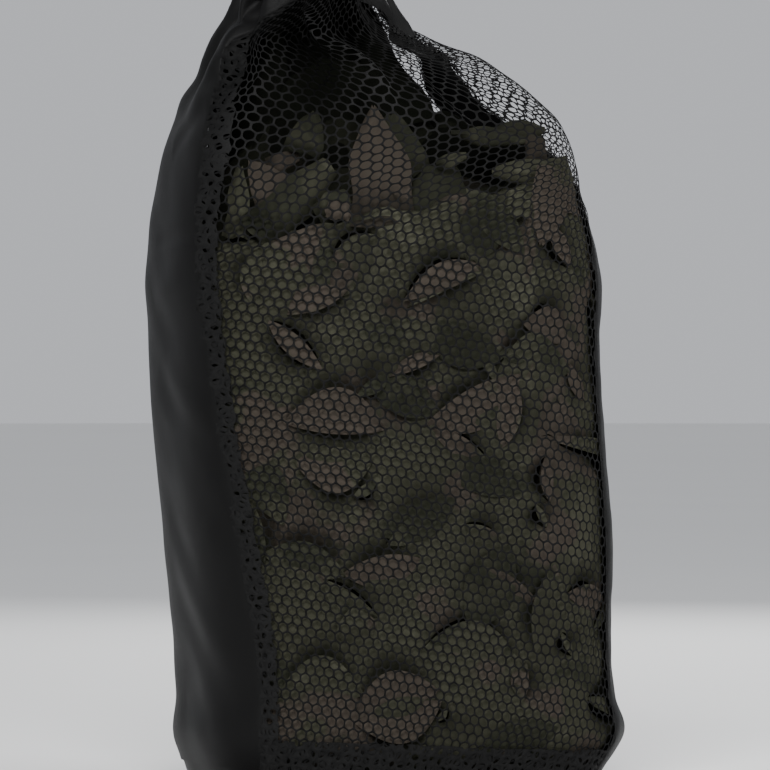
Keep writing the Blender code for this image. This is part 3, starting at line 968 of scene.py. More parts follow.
LEFT_CREASES = creases_seen(
    (266, -20, 222, 34, 0.0060, -0.0042), (250, -24, 204, 40, 0.0060, 0.0026),
    (288, -24, 258, 20, 0.0040, 0.0022), (218, 24, 262, 20, 0.0028, -0.0016),
    (196, 92, 216, 60, 0.0070, 0.0020), (176, 150, 206, 110, 0.0080, -0.0014),
    (160, 240, 204, 234, 0.0040, -0.0008), (158, 300, 196, 262, 0.0100, 0.0008),
    (162, 372, 214, 446, 0.0090, -0.0008), (172, 360, 222, 424, 0.0100, 0.0007),
    (166, 440, 204, 520, 0.0110, 0.0006), (172, 520, 204, 560, 0.0090, -0.0005),
    (178, 556, 256, 664, 0.0120, 0.0006), (176, 590, 244, 676, 0.0110, -0.0004),
    (212, 610, 204, 756, 0.0120, 0.0003), (234, 660, 236, 764, 0.0120, -0.0003),
    (188, 660, 196, 764, 0.0090, -0.0003),
)
RIGHT_CREASES = table(
    Crease,
    (70.0, 0.205, 80.0, 0.176, 0.008, 0.0008),
    (68.0, 0.150, 86.0, 0.100, 0.008, 0.0007),
    (66.0, 0.038, 86.0, 0.014, 0.008, 0.0014),
    (84.0, 0.330, 110.0, 0.270, 0.008, 0.0014),
    (110.0, 0.220, 90.0, 0.150, 0.007, -0.0012),
    (86.0, 0.110, 114.0, 0.040, 0.008, 0.0014),
)
# Columns and rows of the flat sheets
PANEL_GRID = (84, 300)
BASE_GRID = (240, 44)
CASING_GRID = (360, 64)
# Shares of a panel over which its creases start from its edge and from its foot
CALM_EDGE = 0.06
CALM_FOOT = 0.03
NYLON_LAP = 0.0006  # of a side panel over the edge of the mesh, and above it
ROLL_RISE = 0.0010  # of a panel's middle over its turned edges
ROLL_STEEPNESS = 60.0
EDGE_SINK = 0.0004


def nylon_panel(node, start_edge, end_edge, creases, seed):
    """A side panel, its long edges turned under along the mesh."""
    end_laps = LEFT_LAPS if end_edge is left_seam else (NYLON_LAP,) * len(HEM_HEIGHTS)
    levels = np.linspace(0.0, CASING_EDGE, 60)
    edges = [between_seams(start_edge, end_edge, share, levels) for share in (0.0, 1.0)]
    spans = np.diff(np.interp(edges, GIRTH_ANGLES, GIRTHS), axis=0)[0]
    width = float((spans * on_rows(RINGS, "width", levels)).mean())

    def place(flat):
        shares, ups = flat[:, 0], flat[:, 1]
        angles = between_seams(start_edge, end_edge, shares, ups * CASING_EDGE)
        foot = base_seam(angles)
        heights = foot + (casing_edge(angles) - foot) * ups
        angles = between_seams(start_edge, end_edge, shares, heights)
        lap = np.where(shares > 0.5, 2.0 * shares - 1.0, 0.0) * np.interp(heights, HEM_HEIGHTS, end_laps)
        lap = lap + (2.0 * np.minimum(shares, 0.5) - 1.0) * NYLON_LAP
        girth = np.interp(angles, GIRTH_ANGLES, GIRTHS) + lap / on_rows(RINGS, "width", heights)
        angles = np.interp(girth, GIRTHS, GIRTH_ANGLES)
        edge = np.minimum(shares, 1.0 - shares)
        roll = ROLL_RISE * (1.0 - np.exp(-edge * ROLL_STEEPNESS)) - EDGE_SINK
        relief = crease_relief(creases, angles, heights)
        relief = relief + waves(girth, heights * 0.6, *NYLON_WAVES, seed)
        relief = relief + waves(girth, heights, *NYLON_RIPPLES, seed + 1)
        calm = smooth_step(0.0, CALM_EDGE, edge) * smooth_step(0.0, CALM_FOOT, ups)
        placed = raised(bag, angles, heights, roll + relief * calm + NYLON_LAP)
        return placed, np.stack((girth, heights), axis=-1)

    made = cloth_object(node + "_nylon", node, "black_nylon", flat_grid(*PANEL_GRID), place)


BASE_OVERLAP = 0.0004  # of the base panel's edge over its seam
SWELL_STEP = 0.002  # metres along the waves that swell its edge, for a degree round it


def base_cloth():
    """The base panel, flat where it stands and rounded up to its seam."""

    def place(flat):
        angles, shares = 360.0 * flat[:, 0], flat[:, 1]
        seam = bag(angles, base_seam(angles) + BASE_OVERLAP)
        bend = np.clip((shares - BASE_FLAT_SHARE) / (1.0 - BASE_FLAT_SHARE), 0.0, 1.0)
        rise = seam[:, 2] * (1.0 - np.sqrt(1.0 - bend**2))
        placed = np.stack((seam[:, 0] * shares, seam[:, 1] * shares, rise), axis=-1)
        fullness = smooth_step(0.0, 0.5, bend) * (1.0 - bend)
        swell = fullness * waves(angles * SWELL_STEP, shares * 0.0, *FOOT_WAVES, 31)
        placed[:, :2] += swell[:, None]
        return placed, placed[:, :2].copy()

    made = cloth_object("base_nylon", "base_panel", "black_nylon", flat_grid(*BASE_GRID), place)
    weld(made.data)


# The casing's section: reach as a share of the neck's, and rise as a share of the ruffle's
CASING_SECTION = (
    (1.045, -0.20), (1.050, -0.05), (1.000, 0.06), (0.800, 0.26), (0.660, 0.42), (0.780, 0.72),
    (0.980, 0.96), (0.955, 1.00), (0.880, 0.97), (0.620, 0.90), (0.360, 0.85), (0.004, 0.83),
)
# At the lobe the band hangs further down in a tongue, and stands out
TONGUE_WIDTH = 13.0
TONGUE_DROP = 0.016
LOBE_SPREAD = 0.10
LOBE_HEIGHT = 0.16
BAND_LEVELS = (-0.02, 0.42)  # over which the band's drop ends, as shares of the ruffle's rise
# The ruffle's folds, as shares of its reach at the band and how much more at its rim
FOLDS_AT_BAND = 0.02
FOLDS_AT_RIM = 0.07
FOLD_LEVELS = (0.1, 0.9)
# The casing's cloth coordinates: metres for a radian round it, and from its edge to its middle
CASING_TURN = 0.04
CASING_LENGTH = 0.08


def mouth_ruffle():
    """The gathered casing, drawn shut, with its sewn band lapping over the panels."""
    reaches, rises = np.array(CASING_SECTION).T
    steps = run_lengths(np.array(CASING_SECTION))
    steps /= steps[-1]

    def place(flat):
        angles, along = 360.0 * flat[:, 0], flat[:, 1]
        reach, rise = np.interp(along, steps, reaches), np.interp(along, steps, rises)
        away = turned_from(angles, LOBE_ANGLE)
        edge_height = casing_edge(angles) - np.exp(-((away / TONGUE_WIDTH) ** 2)) * TONGUE_DROP
        edge = bag(angles, edge_height)
        drop = (edge_height - CASING_EDGE) * (1.0 - smooth_step(*BAND_LEVELS, rise))
        turn = np.radians(angles)
        folds = 0.55 * np.sin(19.0 * turn + 1.3 * np.sin(2.0 * turn)) + 0.45 * np.sin(31.0 * turn + 0.9)
        ruffle = 1.0 + folds * (FOLDS_AT_BAND + FOLDS_AT_RIM * smooth_step(*FOLD_LEVELS, rise))
        lobe = np.exp(-((away / LOBE_WIDTH) ** 2)) * np.exp(-(((rise - BAND_LEVELS[0]) / LOBE_HEIGHT) ** 2))
        middle = on_rows(RINGS, "lean", edge_height)
        spread = reach * ruffle + LOBE_SPREAD * lobe
        height = CASING_EDGE + RUFFLE_RISE * rise + drop
        placed = np.stack((middle + (edge[:, 0] - middle) * spread, edge[:, 1] * spread, height), axis=-1)
        return placed, np.stack((turn * CASING_TURN, along * CASING_LENGTH), axis=-1)

    made = cloth_object("mouth_casing_nylon", "mouth_casing", "black_nylon", flat_grid(*CASING_GRID), place)
    weld(made.data)


# --- The net


class Leaf(NamedTuple):
    """A leaf flap. Its root and tip are pixels of the picture, and its other sizes are millimetres.

    It runs from its root to its tip, bulging to its left and right. It is hinged at its root (0), at its
    left side (-1) or at its right side (1), and stands off the net by its lift. Beside its free edges the
    net is cut away by a gap. Its tone shifts the print towards brown (1) or green (-1); below -2 the leaf
    is partly dark print and partly painted shade.
    """

    root_x: float
    root_y: float
    tip_x: float
    tip_y: float
    left: float
    right: float
    hinge: int
    lift: float
    left_gap: float
    right_gap: float
    tone: float


LEAVES = table(
    Leaf,
    (328, 260, 380, 236, 7, 16, 1, 2.2, 2.2, 0, -0.6), (352, 282, 284, 313, 5, 14, 1, 1.8, 1.3, 0, 1.2),
    (264, 318, 321, 367, 5, 6, 0, 2.2, 2.2, 1.2, 0.9), (490, 266, 403, 300, 3, 12, 0, 2.2, 5, 1.6, 1.2),
    (486, 271, 408, 306, 0.5, 10, 1, 1.4, 0, 1.4, -0.3), (470, 188, 528, 254, 12, 9, 0, 2.0, 1.0, 0, -1.6),
    (394, 372, 356, 393, 4, 4, 0, 2.4, 4, 4, -0.5), (442, 352, 390, 374, 2, 6, 1, 1.6, 1.2, 0, 0.9),
    (284, 420, 387, 426, 20, 4, -1, 1.6, 0, 1.3, 1.3), (284, 416, 388, 428, 21, 4, 1, 2.2, 1.6, 0, 1.3),
    (372, 456, 293, 458, 17, 8, 1, 2.0, 1.4, 0, 0.2), (376, 478, 352, 492, 3, 3, 0, 2.2, 2.4, 2.4, -0.5),
    (431, 425, 491, 461, 5, 6, 1, 2.0, 2.4, 0, 0.4), (513, 372, 503, 445, 9, 6, 1, 1.8, 1.6, 0, 1.0),
    (572, 372, 497, 374, 4, 23, -1, 2.3, 0, 2.2, -1.0), (526, 322, 568, 342, 15, 4, 1, 1.9, 1.3, 0, 1.0),
    (546, 434, 590, 456, 4, 5, 0, 1.6, 0, 1.6, 0.2), (386, 539, 431, 503, 4, 9, 1, 1.8, 1.6, 0, -0.8),
    (464, 520, 502, 534, 3, 11, 1, 2.0, 1.6, 0, -0.2), (261, 548, 345, 569, 13, 7, 1, 2.2, 1.8, 0, -1.0),
    (342, 567, 421, 553, 6, 12, 1, 2.0, 1.6, 0, 1.2), (323, 572, 381, 612, 3, 11, 1, 1.6, 2.2, 0, 0.0),
    (566, 590, 598, 602, 8, 6, 1, 2.0, 1.8, 0, 0.6), (600, 572, 592, 630, 3, 6, 1, 2.0, 2.4, 0, -0.4),
    (420, 644, 521, 664, 22, 10, 1, 2.3, 1.8, 0, -0.7), (283, 680, 365, 686, 20, 6, 1, 2.2, 1.8, 0, -0.9),
    (357, 702, 439, 684, 17, 4, 1, 2.0, 1.4, 0, 1.2), (441, 693, 353, 714, 17, 4, 1, 2.2, 1.8, 0, 1.2),
    (588, 694, 606, 712, 4, 4, 0, 2.0, 2.8, 1.6, -0.4), (460, 768, 520, 770, 15, 3, 1, 1.8, 1.6, 0, 1.2),
    (524, 655, 522, 695, 2, 8, 1, 2.2, 1.2, 0, -0.3), (448, 700, 436, 714, 2, 2, 0, 1.6, 2.4, 2.4, -0.6),
    (572, 362, 584, 400, 3, 6, 1, 1.8, 1.6, 0, 0.3), (552, 222, 572, 268, 7, 5, 0, 2.2, 2.2, 1.6, 1.0),
    (584, 292, 590, 330, 3, 4, 1, 1.8, 1.6, 0, -0.4), (484, 352, 498, 380, 3, 3, 0, 1.8, 3.5, 2.0, -0.6),
    (538, 500, 548, 524, 2, 3, 0, 1.8, 2.4, 1.4, -0.4), (562, 628, 570, 652, 2, 3, 0, 1.8, 3.0, 1.4, -0.4),
    (252, 250, 246, 300, 5, 8, -1, 1.6, 0, 1.2, -0.6), (252, 498, 264, 560, 3, 8, 1, 1.8, 1.4, 0, -0.8),
    (470, 560, 540, 600, 6, 8, 1, 1.6, 1.2, 0, 0.2), (548, 452, 552, 500, 4, 6, -1, 1.8, 0, 1.2, 0.8),
    # Leaves of tone below -2 lie where the net is in shade: they are partly dark print and partly painted
    # shade
    (366, 380, 440, 412, 13, 9, 0, 1.0, 0, 0, -2.5), (470, 262, 502, 196, 13, 13, 0, 1.0, 0, 0, -2.5),
    (420, 322, 506, 356, 9, 15, 0, 1.0, 0, 0, -2.5), (376, 528, 456, 494, 8, 13, 0, 1.0, 0, 0, -2.4),
    (470, 625, 512, 540, 15, 14, 0, 1.0, 0, 0, -2.4), (424, 424, 524, 372, 7, 16, 1, 1.6, 1.4, 0, 0.9),
    (330, 296, 356, 272, 10, 5, 0, 1.2, 0, 0, 1.0), (446, 470, 530, 486, 14, 8, 0, 1.0, 0, 0, -2.3),
    (536, 356, 500, 352, 4, 6, 0, 1.4, 1.2, 1.2, -2.4), (366, 640, 352, 600, 12, 10, 0, 1.2, 0, 0, -0.2),
    (540, 660, 556, 560, 10, 10, 0, 1.2, 1.0, 0, -0.5), (470, 750, 560, 722, 12, 12, 0, 1.2, 0, 0, -2.4),
    (230, 320, 262, 372, 8, 10, 0, 1.2, 0, 0, -1.2), (246, 440, 282, 520, 12, 10, 0, 1.2, 0, 0, -1.4),
)


class Hollow(NamedTuple):
    """Where the net's outer layer lies deeper: the pixel of its middle, its half width and half height, and
    its depth, in millimetres."""

    x: float
    y: float
    across: float
    up: float
    depth: float


HOLLOWS = table(
    Hollow,
    (466, 348, 19.0, 16.0, 7.0), (405, 410, 17.0, 12.0, 6.0), (376, 368, 12.0, 8.0, 7.0),
    (425, 500, 20.0, 13.0, 6.0), (484, 470, 18.0, 14.0, 4.0), (490, 575, 22.0, 20.0, 4.5),
    (345, 284, 12.0, 8.0, 5.0), (396, 306, 9.0, 7.0, 7.0), (492, 232, 16.0, 15.0, 8.0),
    (372, 262, 14.0, 12.0, 4.0), (452, 302, 16.0, 9.0, 6.0), (372, 598, 14.0, 10.0, 3.5),
    (455, 725, 26.0, 10.0, 4.0), (345, 640, 16.0, 12.0, 3.0), (545, 610, 10.0, 22.0, 5.0),
    (516, 270, 12.0, 10.0, 3.0), (546, 420, 9.0, 18.0, 4.0), (300, 500, 14.0, 10.0, 2.5),
)
HOLLOW_SHARE = 0.55  # how far a leaf's free part follows a hollow


# The sheet's middle lies this far below a fold's crest, inside the net's face and inside the bag
FRONT_CREST_DROP = 0.002
CREST_DROP = 0.004
OUTER_SINK = 0.0004
INNER_INSET = 0.006
LAYER_RIPPLE = 0.03  # as a share of the net's half depth
LAYER_LENGTH = 0.330
PERIOD = LAYER_LENGTH * (1.0 + FOLD_SHARE)
HALF_PITCH = BODY_DEPTH / (NET_LAYERS - 1) / 2.0  # between two layers
BULGE = 0.8  # of a fold's turn, as a share of a round one's

# How a leaf's edges and the gaps beside them run out to their ends
EDGE_TAPER = 0.85
GAP_TAPER = 0.7
# Beside a leaf's free edge the net sinks, over a reach beyond the edge and under the leaf
DENT = 0.0042
DENT_REACH = 0.0085
DENT_UNDER = 0.011
SHADE = 0.80  # how much painted shade darkens the print beside a leaf
HOLLOW_SHADE = 0.5  # and in a hollow
SHADED_DEPTH = 0.007  # of a hollow that gets painted shade in full
DEEPEST_HOLLOW = 0.009
INNER_SHADE = 0.80  # painted shade on the inner layers near their crests, and this share of it below
LOW_SHADE = 0.55
CREST_LEVELS = (0.27, 0.33)
DEEP_SHADE_TONE = -3.0  # painted deep shade on the inner folds that stand above the front one, over these heights
DEEP_SHADE_LEVELS = (0.338, 0.352)


def arc_seen_at(x, y):
    """The place on the net's front that the picture shows at a pixel: its distance round from the middle,
    and its height."""
    across, height = (value / 1000.0 for value in seen(x, y))
    angles = np.arange(-95.0, 86.0, 1.0)  # the part of the net that faces the camera
    points = bundle(angles, np.full(angles.shape, height))
    arcs = run_lengths(points)
    arcs -= np.interp(0.0, angles, arcs)
    return np.array([read_across(across, across_picture(points), arcs), height])


FRONT_CREST_TABLE = np.array([arc_seen_at(x, y) for x, y in FRONT_CREST]).T
FRONT_CREST_TABLE[0] /= CORNER_ARC


def crest_height(fold, sides):
    """Height of a top fold at places across the bag, with small ruffles."""
    if fold == 0:
        return np.interp(sides, *FRONT_CREST_TABLE) - FRONT_CREST_DROP
    crest = np.array(CRESTS[fold])
    smooth = smooth_curve(np.linspace(-1.0, 1.0, len(crest)), crest, sides)
    return smooth + waves(sides * 0.1, sides * 0.0, *CREST_WAVES, 100 + fold) - CREST_DROP


HOLLOW_PLACES = [(*arc_seen_at(hollow.x, hollow.y), hollow) for hollow in HOLLOWS]


def outer_place(arcs, heights, lift, back):
    """A place on the net's outer face, by its distance round from the middle of the front or back."""
    middle = np.interp(180.0 if back else 0.0, GIRTH_ANGLES, GIRTHS)
    angles = np.interp(middle + arcs / on_rows(RINGS, "width", heights), GIRTHS, GIRTH_ANGLES)
    relief = waves(arcs, heights, *NET_WAVES, 41 + back) + waves(arcs, heights, *NET_RIPPLES, 43 + back)
    return raised(bundle, angles, heights, lift + relief - OUTER_SINK)


def hollow_depth(arcs, heights):
    depth = np.zeros(np.shape(arcs))
    for arc, height, hollow in HOLLOW_PLACES:
        across, up, deep = (size / 1000.0 for size in hollow[2:])
        depth = depth + deep * np.exp(-(((arcs - arc) / across) ** 2) - ((heights - height) / up) ** 2)
    return np.minimum(depth, DEEPEST_HOLLOW)


def hollow_shade(depth):
    # painted shade in a hollow, growing with its depth
    return HOLLOW_SHADE * np.minimum(depth / SHADED_DEPTH, 1.0)


def dents(leaves, arcs, heights):
    """How deep the net sinks beside the free edges of its leaves."""
    depth = np.zeros(arcs.shape)
    for leaf in leaves:
        away = np.stack((arcs, heights), axis=-1) - leaf.root
        share = np.clip(away @ leaf.along / leaf.length, 0.0, 1.0)
        offset = away @ leaf.sideways
        ends = np.sin(np.pi * share) ** GAP_TAPER
        for side, gap in ((-1, leaf.leaf.left_gap), (1, leaf.leaf.right_gap)):
            if gap:
                beyond = side * offset - leaf_edge(leaf.leaf, side, share)
                reach = np.where(beyond > 0.0, DENT_REACH, DENT_UNDER)
                depth = np.maximum(depth, DENT * ends * np.exp(-((beyond / reach) ** 2)))
    return depth


def inner_place(sides, depth, heights):
    """A place on an inner layer, from -1 to 1 across the bag and through it."""
    half_width, half_depth = half_sizes(heights, net_draw_in(heights), INNER_INSET)
    reach = sides * INNER_SIDE * half_width * np.sqrt(1.0 - CORNER_ROUNDING * depth**2)
    ripple = LAYER_RIPPLE * np.sin(3.2 * sides + 21.0 * heights) * (1.0 - depth**2)
    y = (depth + ripple) * half_depth * np.sqrt(1.0 - CORNER_ROUNDING * sides**2)
    return np.stack((on_rows(RINGS, "lean", heights) + reach, y, heights + 0.0 * reach), axis=-1)


def sheet_place(across, along, leaves):
    """Where a point of the net's flat sheet lies once it is folded, its painted shade and how far it is
    painted deep shade.
    across runs from -1 to 1."""
    layer = np.clip(np.floor(along / PERIOD), 0, NET_LAYERS - 1)
    run = along - layer * PERIOD
    share = np.clip(run / LAYER_LENGTH, 0.0, 1.0)
    turn = np.clip((run - LAYER_LENGTH) / (PERIOD - LAYER_LENGTH), 0.0, 1.0)
    upward = layer % 2 == 0
    share = np.where(upward, share, 1.0 - share)
    depth = -1.0 + 2.0 / (NET_LAYERS - 1) * (layer + (1.0 - np.cos(np.pi * turn)) / 2.0)
    arcs = across * OUTER_HALF_ARC
    outer_sides = np.clip(arcs / CORNER_ARC, -1.0, 1.0)
    inner, outer = np.zeros((2,) + across.shape + (3,))
    shades = np.zeros(across.shape)

    def heights_at(fold, sides, chosen):
        crest = crest_height(fold, sides[chosen]) - HALF_PITCH
        return NET_FOOT + (crest - NET_FOOT) * share[chosen]

    for fold in range(len(CRESTS)):
        chosen = np.floor(layer / 2) == fold
        inner[chosen] = inner_place(across[chosen], depth[chosen], heights_at(fold, across, chosen))
        back = fold == len(CRESTS) - 1
        if fold == 0 or back:
            heights = heights_at(fold, outer_sides, chosen)
            side = -arcs[chosen] if back else arcs[chosen]
            faced = [leaf for leaf in leaves if leaf.back == back]
            beside, deep = dents(faced, side, heights), hollow_depth(side, heights)
            outer[chosen] = outer_place(side, heights, -np.maximum(beside, deep), back)
            # painted shade beside the leaves and in the hollows
            shades[chosen] = np.maximum(SHADE * beside / DENT, hollow_shade(deep))
    # The first and the last layer wrap round the net, and the turns beside them lead over to them
    turned = smooth_step(0.0, 1.0, turn)
    wrap = np.where(layer == 0, 1.0 - turned, np.where(layer == NET_LAYERS - 1, 1.0, 0.0))
    last_turn = layer == NET_LAYERS - 2
    wrap = np.where(last_turn, turned, wrap)
    heights = inner[last_turn][:, 2]
    outer[last_turn] = outer_place(-arcs[last_turn], heights, np.zeros(heights.shape), True)
    placed = inner + (outer - inner) * wrap[:, None]
    placed[:, 2] += np.sin(np.pi * turn) * np.where(upward, 1.0, -1.0) * HALF_PITCH * BULGE
    # painted shade on the inner layers, fullest near their crests
    inner_shade = LOW_SHADE + (1.0 - LOW_SHADE) * smooth_step(*CREST_LEVELS, placed[:, 2])
    # painted deep shade on the inner folds' tops above the front fold
    deep_shade_share = np.where(wrap > 0.0, 0.0, smooth_step(*DEEP_SHADE_LEVELS, placed[:, 2]))
    return placed, np.where(wrap > 0.0, shades, INNER_SHADE * inner_shade), deep_shade_share


def leaf_edge(leaf, side, steps):
    """How far a leaf bulges to one side of its run, in metres, at shares of its length."""
    bulge = {-1: leaf.left, 1: leaf.right}[side] / 1000.0
    return bulge * np.sin(np.pi * steps) ** EDGE_TAPER


HOLE_STEPS = 9
HOLE_UNDER = 0.0022  # how far a hole reaches under its leaf


class PlacedLeaf:
    """A leaf on the net's outer face, in metres round the face and up."""

    def __init__(self, leaf, back):
        self.leaf = leaf
        self.back = back
        self.root = arc_seen_at(leaf.root_x, leaf.root_y)
        along = arc_seen_at(leaf.tip_x, leaf.tip_y) - self.root
        self.length = float(np.linalg.norm(along))
        self.along = along / self.length
        self.sideways = np.array([self.along[1], -self.along[0]])  # to the right of the leaf's run

    def point(self, share, offset):
        """A place by its share of the length and its distance to the right."""
        share, offset = np.asarray(share)[..., None], np.asarray(offset)[..., None]
        return self.root + self.along * self.length * share + self.sideways * offset

    def holes(self):
        """The holes beside its free edges: each out along its far side and back under the leaf."""
        steps = np.linspace(0.0, 1.0, HOLE_STEPS)
        gap = np.sin(np.pi * steps) ** GAP_TAPER
        for side, width in ((-1, self.leaf.left_gap), (1, self.leaf.right_gap)):
            if width:
                bulge = leaf_edge(self.leaf, side, steps)
                far = self.point(steps, side * (bulge + width / 1000.0 * gap))
                near = self.point(steps, side * (bulge - HOLE_UNDER * gap))
                yield np.concatenate((far, near[-2:0:-1]))


def face_to_flat(arcs, heights, back):
    """The flat sheet's point that lies at a place on its outer face."""
    sides = np.clip(arcs / CORNER_ARC, -1.0, 1.0)
    crest = crest_height(len(CRESTS) - 1 if back else 0, -sides if back else sides) - HALF_PITCH
    share = (heights - NET_FOOT) / (crest - NET_FOOT)
    if back:
        return -arcs / OUTER_HALF_ARC, (NET_LAYERS - 1) * PERIOD + (1.0 - share) * LAYER_LENGTH
    return arcs / OUTER_HALF_ARC, share * LAYER_LENGTH


def hole_cutter(leaves):
    """Prisms of all the holes beside the leaves, standing on the flat sheet."""
    shape = bmesh.new()
    for leaf in leaves:
        for outline in leaf.holes():
            across, along = face_to_flat(outline[:, 0], outline[:, 1], leaf.back)
            corners = [shape.verts.new((x, y, -0.5)) for x, y in zip(across, along)]
            pulled = bmesh.ops.extrude_face_region(shape, geom=[shape.faces.new(corners)])
            bmesh.ops.translate(shape, verts=vertices(pulled["geom"]), vec=(0.0, 0.0, 1.0))
    bmesh.ops.recalc_face_normals(shape, faces=shape.faces)
    return in_scene("leaf_holes", to_mesh("leaf_holes", shape))


OUTER_ROWS = 84
INNER_ROWS = 15
TURN_ROWS = 7


def folded_rows():
    """Where the rows of the net's flat sheet lie along it: close together on its outer layers."""
    turn = LAYER_LENGTH + np.linspace(0.0, 1.0, TURN_ROWS)[1:-1] * (PERIOD - LAYER_LENGTH)
    rows = []
    for layer in range(NET_LAYERS):
        count = OUTER_ROWS if layer in (0, NET_LAYERS - 1) else INNER_ROWS
        rows += list(layer * PERIOD + np.linspace(0.0, 1.0, count) * LAYER_LENGTH)
        if layer < NET_LAYERS - 1:
            rows += list(layer * PERIOD + turn)
    return np.array(rows)


NET_COLUMNS = 112
FLAP_COLUMNS = 18
FLAP_ROWS = 10
LIFT_SCALE = 0.62
FLAP_SINK = 0.0008  # of a flap's hinge below the net's face
FLAP_RIPPLE = 0.18  # as a share of its lift
FLAP_END_LIFT = 0.55  # at its ends, as a share of its middle's
FREE_FROM_ROOT = (0.0, 0.55)  # where a flap comes free along its run
FREE_FROM_SIDE = (-0.35, 0.5)  # or across it
FLAP_HOLLOW_SHADE = 0.7  # painted shade in a hollow on a flap, as a share of the net's
# Each flap is printed from a place of its own: this far across and up the cloth for each unit of tone
PRINT_STEP = (0.13, 0.31)


def flap_patches(count):
    """All leaf flaps as one flat shape: each is a patch whose number is kept in its height."""
    shape = bmesh.new()
    for number in range(count):
        made = bmesh.ops.create_grid(shape, x_segments=FLAP_COLUMNS, y_segments=FLAP_ROWS, size=0.5)["verts"]
        bmesh.ops.translate(shape, verts=made, vec=(0.5, 0.0, float(number)))
    return shape


def flap_place(leaf, share, across):
    """A flap's placed points, its cloth coordinates and its painted shade. across runs from -0.5 to 0.5."""
    data = leaf.leaf
    right, left = leaf_edge(data, 1, share), leaf_edge(data, -1, share)
    place = leaf.point(share, (right - left) / 2.0 + across * (right + left))
    freed, away = (FREE_FROM_SIDE, across * -data.hinge) if data.hinge else (FREE_FROM_ROOT, share)
    free = smooth_step(*freed, away)
    ripple = FLAP_RIPPLE * np.sin(share * 9.0 + leaf.length * 900.0) * free
    lift = (LIFT_SCALE * data.lift / 1000.0 + FLAP_SINK) * (free + ripple)
    height = lift * (FLAP_END_LIFT + (1.0 - FLAP_END_LIFT) * np.sin(np.pi * share)) - FLAP_SINK
    hollow = hollow_depth(place[:, 0], place[:, 1])
    height = height - hollow * (1.0 - (1.0 - HOLLOW_SHARE) * free)
    placed = outer_place(place[:, 0], place[:, 1], height, leaf.back)
    return placed, place + np.array(PRINT_STEP) * data.tone, FLAP_HOLLOW_SHADE * hollow_shade(hollow)


class Blade(NamedTuple):
    """A loose leaf or rolled flap above the folds. Its root and tip are pixels of the picture. Its widths at
    root, middle and tip, its distances behind the mesh at root and tip and its bulge are millimetres."""

    root_x: float
    root_y: float
    tip_x: float
    tip_y: float
    widths: tuple
    behind: tuple
    bulge: float
    tone: float


BLADES = table(
    Blade,
    (382, 226, 375, 108, (36, 32, 2), (7, 20), 5.0, 1.6),
    (302, 154, 316, 114, (21, 18, 4), (22, 30), 4.0, -1.5),
    (268, 166, 301, 158, (6, 10, 7), (24, 26), 2.0, 1.5),
    (260, 212, 276, 169, (4, 20, 31), (12, 20), -3.0, 0.7),
    (238, 238, 243, 168, (14, 12, 4), (6, 14), 2.0, -0.4),
    (256, 236, 334, 166, (22, 24, 13), (7, 20), 7.0, -0.5),
    (318, 216, 350, 196, (10, 16, 10), (8, 14), 3.0, -0.8),
    (338, 220, 340, 202, (13, 14, 10), (5, 8), -2.0, 1.2),
    (416, 176, 390, 116, (19, 17, 7), (24, 32), 4.0, -0.9),
    (396, 200, 410, 192, (14, 12, 8), (9, 11), 3.0, 1.6),
    (434, 220, 436, 168, (30, 36, 22), (10, 26), 7.0, -2.1),
    (450, 135, 526, 141, (3, 12, 5), (26, 26), 6.0, -0.6),
    (490, 132, 546, 130, (3, 13, 5), (36, 34), 6.0, -0.2),
    (536, 162, 532, 126, (12, 12, 3), (30, 34), 3.0, 0.8),
    (436, 166, 466, 156, (5, 8, 5), (14, 18), 3.0, -0.7),
    (572, 172, 492, 173, (18, 15, 3), (3.5, 10), 5.0, -0.8),
    (554, 168, 541, 244, (22, 22, 2), (3.0, 2.0), 3.0, 1.5),
    (566, 214, 572, 168, (14, 12, 8), (3.0, 5.0), 2.0, 0.9),
    (518, 190, 519, 218, (14, 14, 9), (4, 1), 2.0, -0.3),
    # The last four stand in the dark behind the folds, and their tone of -3 is painted deep shade
    (312, 170, 306, -8, (76, 62, 48), (78, 52), 8.0, -3.0),
    (398, 130, 356, -10, (46, 20, 16), (66, 44), 6.0, -3.0),
    (232, 215, 262, 10, (44, 44, 30), (70, 40), 6.0, -3.0),
    (480, 205, 478, 126, (80, 72, 44), (70, 62), 6.0, -3.0),
)
WALL_CLEARANCE = 0.002  # a blade's least distance from the bag's side in the picture
ROOT_SHADE = 0.75  # how much painted shade darkens a blade where it comes out from behind the folds
ROOT_RUN = (0.05, 0.45)  # over this share of its run
ROOT_DEPTHS = (3.0, 9.0)  # where it lies deeper than this, in millimetres behind the mesh
FAR_SHADE = 0.6  # and how much painted shade darkens it far behind the mesh
FAR_DEPTHS = (12.0, 44.0)
LEAST_BEHIND = 1.5
# How a blade wanders from a plain shape: shares of its width and of its length, its rise and its twist in
# millimetres, and a share of its bulge
EDGE_WANDER = 0.06
RUN_WANDER = 0.02
RISE_WANDER = 0.8
BLADE_TWIST = 0.9
BLADE_BEND = 0.6
BLADE_PRINT_STEP = (200.0, 370.0)  # as PRINT_STEP, in millimetres
WALL_ROUNDS = 8
DEPTH_STEP = 0.002  # between the levels of the mesh's depths
PLACE_STEP = 0.001


def front_depth_table():
    """How far forward the mesh is in the picture: levels, places across, depths, and its outline's sides."""
    levels = np.arange(0.27, CASING_EDGE, DEPTH_STEP)
    across = np.arange(-0.140, 0.120, PLACE_STEP)
    angles = np.arange(-108.0, 74.0, 1.0)  # the part of the bag that faces the camera
    depths, limits = [], []
    for level in levels:
        points = bag(angles, np.full(angles.shape, level))
        shown = across_picture(points)
        depths.append(read_across(across, shown, points[:, 1]))
        limits.append((shown.min(), shown.max()))
    return levels, across, np.array(depths), np.array(limits)


DEPTH_LEVELS, DEPTH_PLACES, FRONT_DEPTHS, FRONT_LIMITS = front_depth_table()


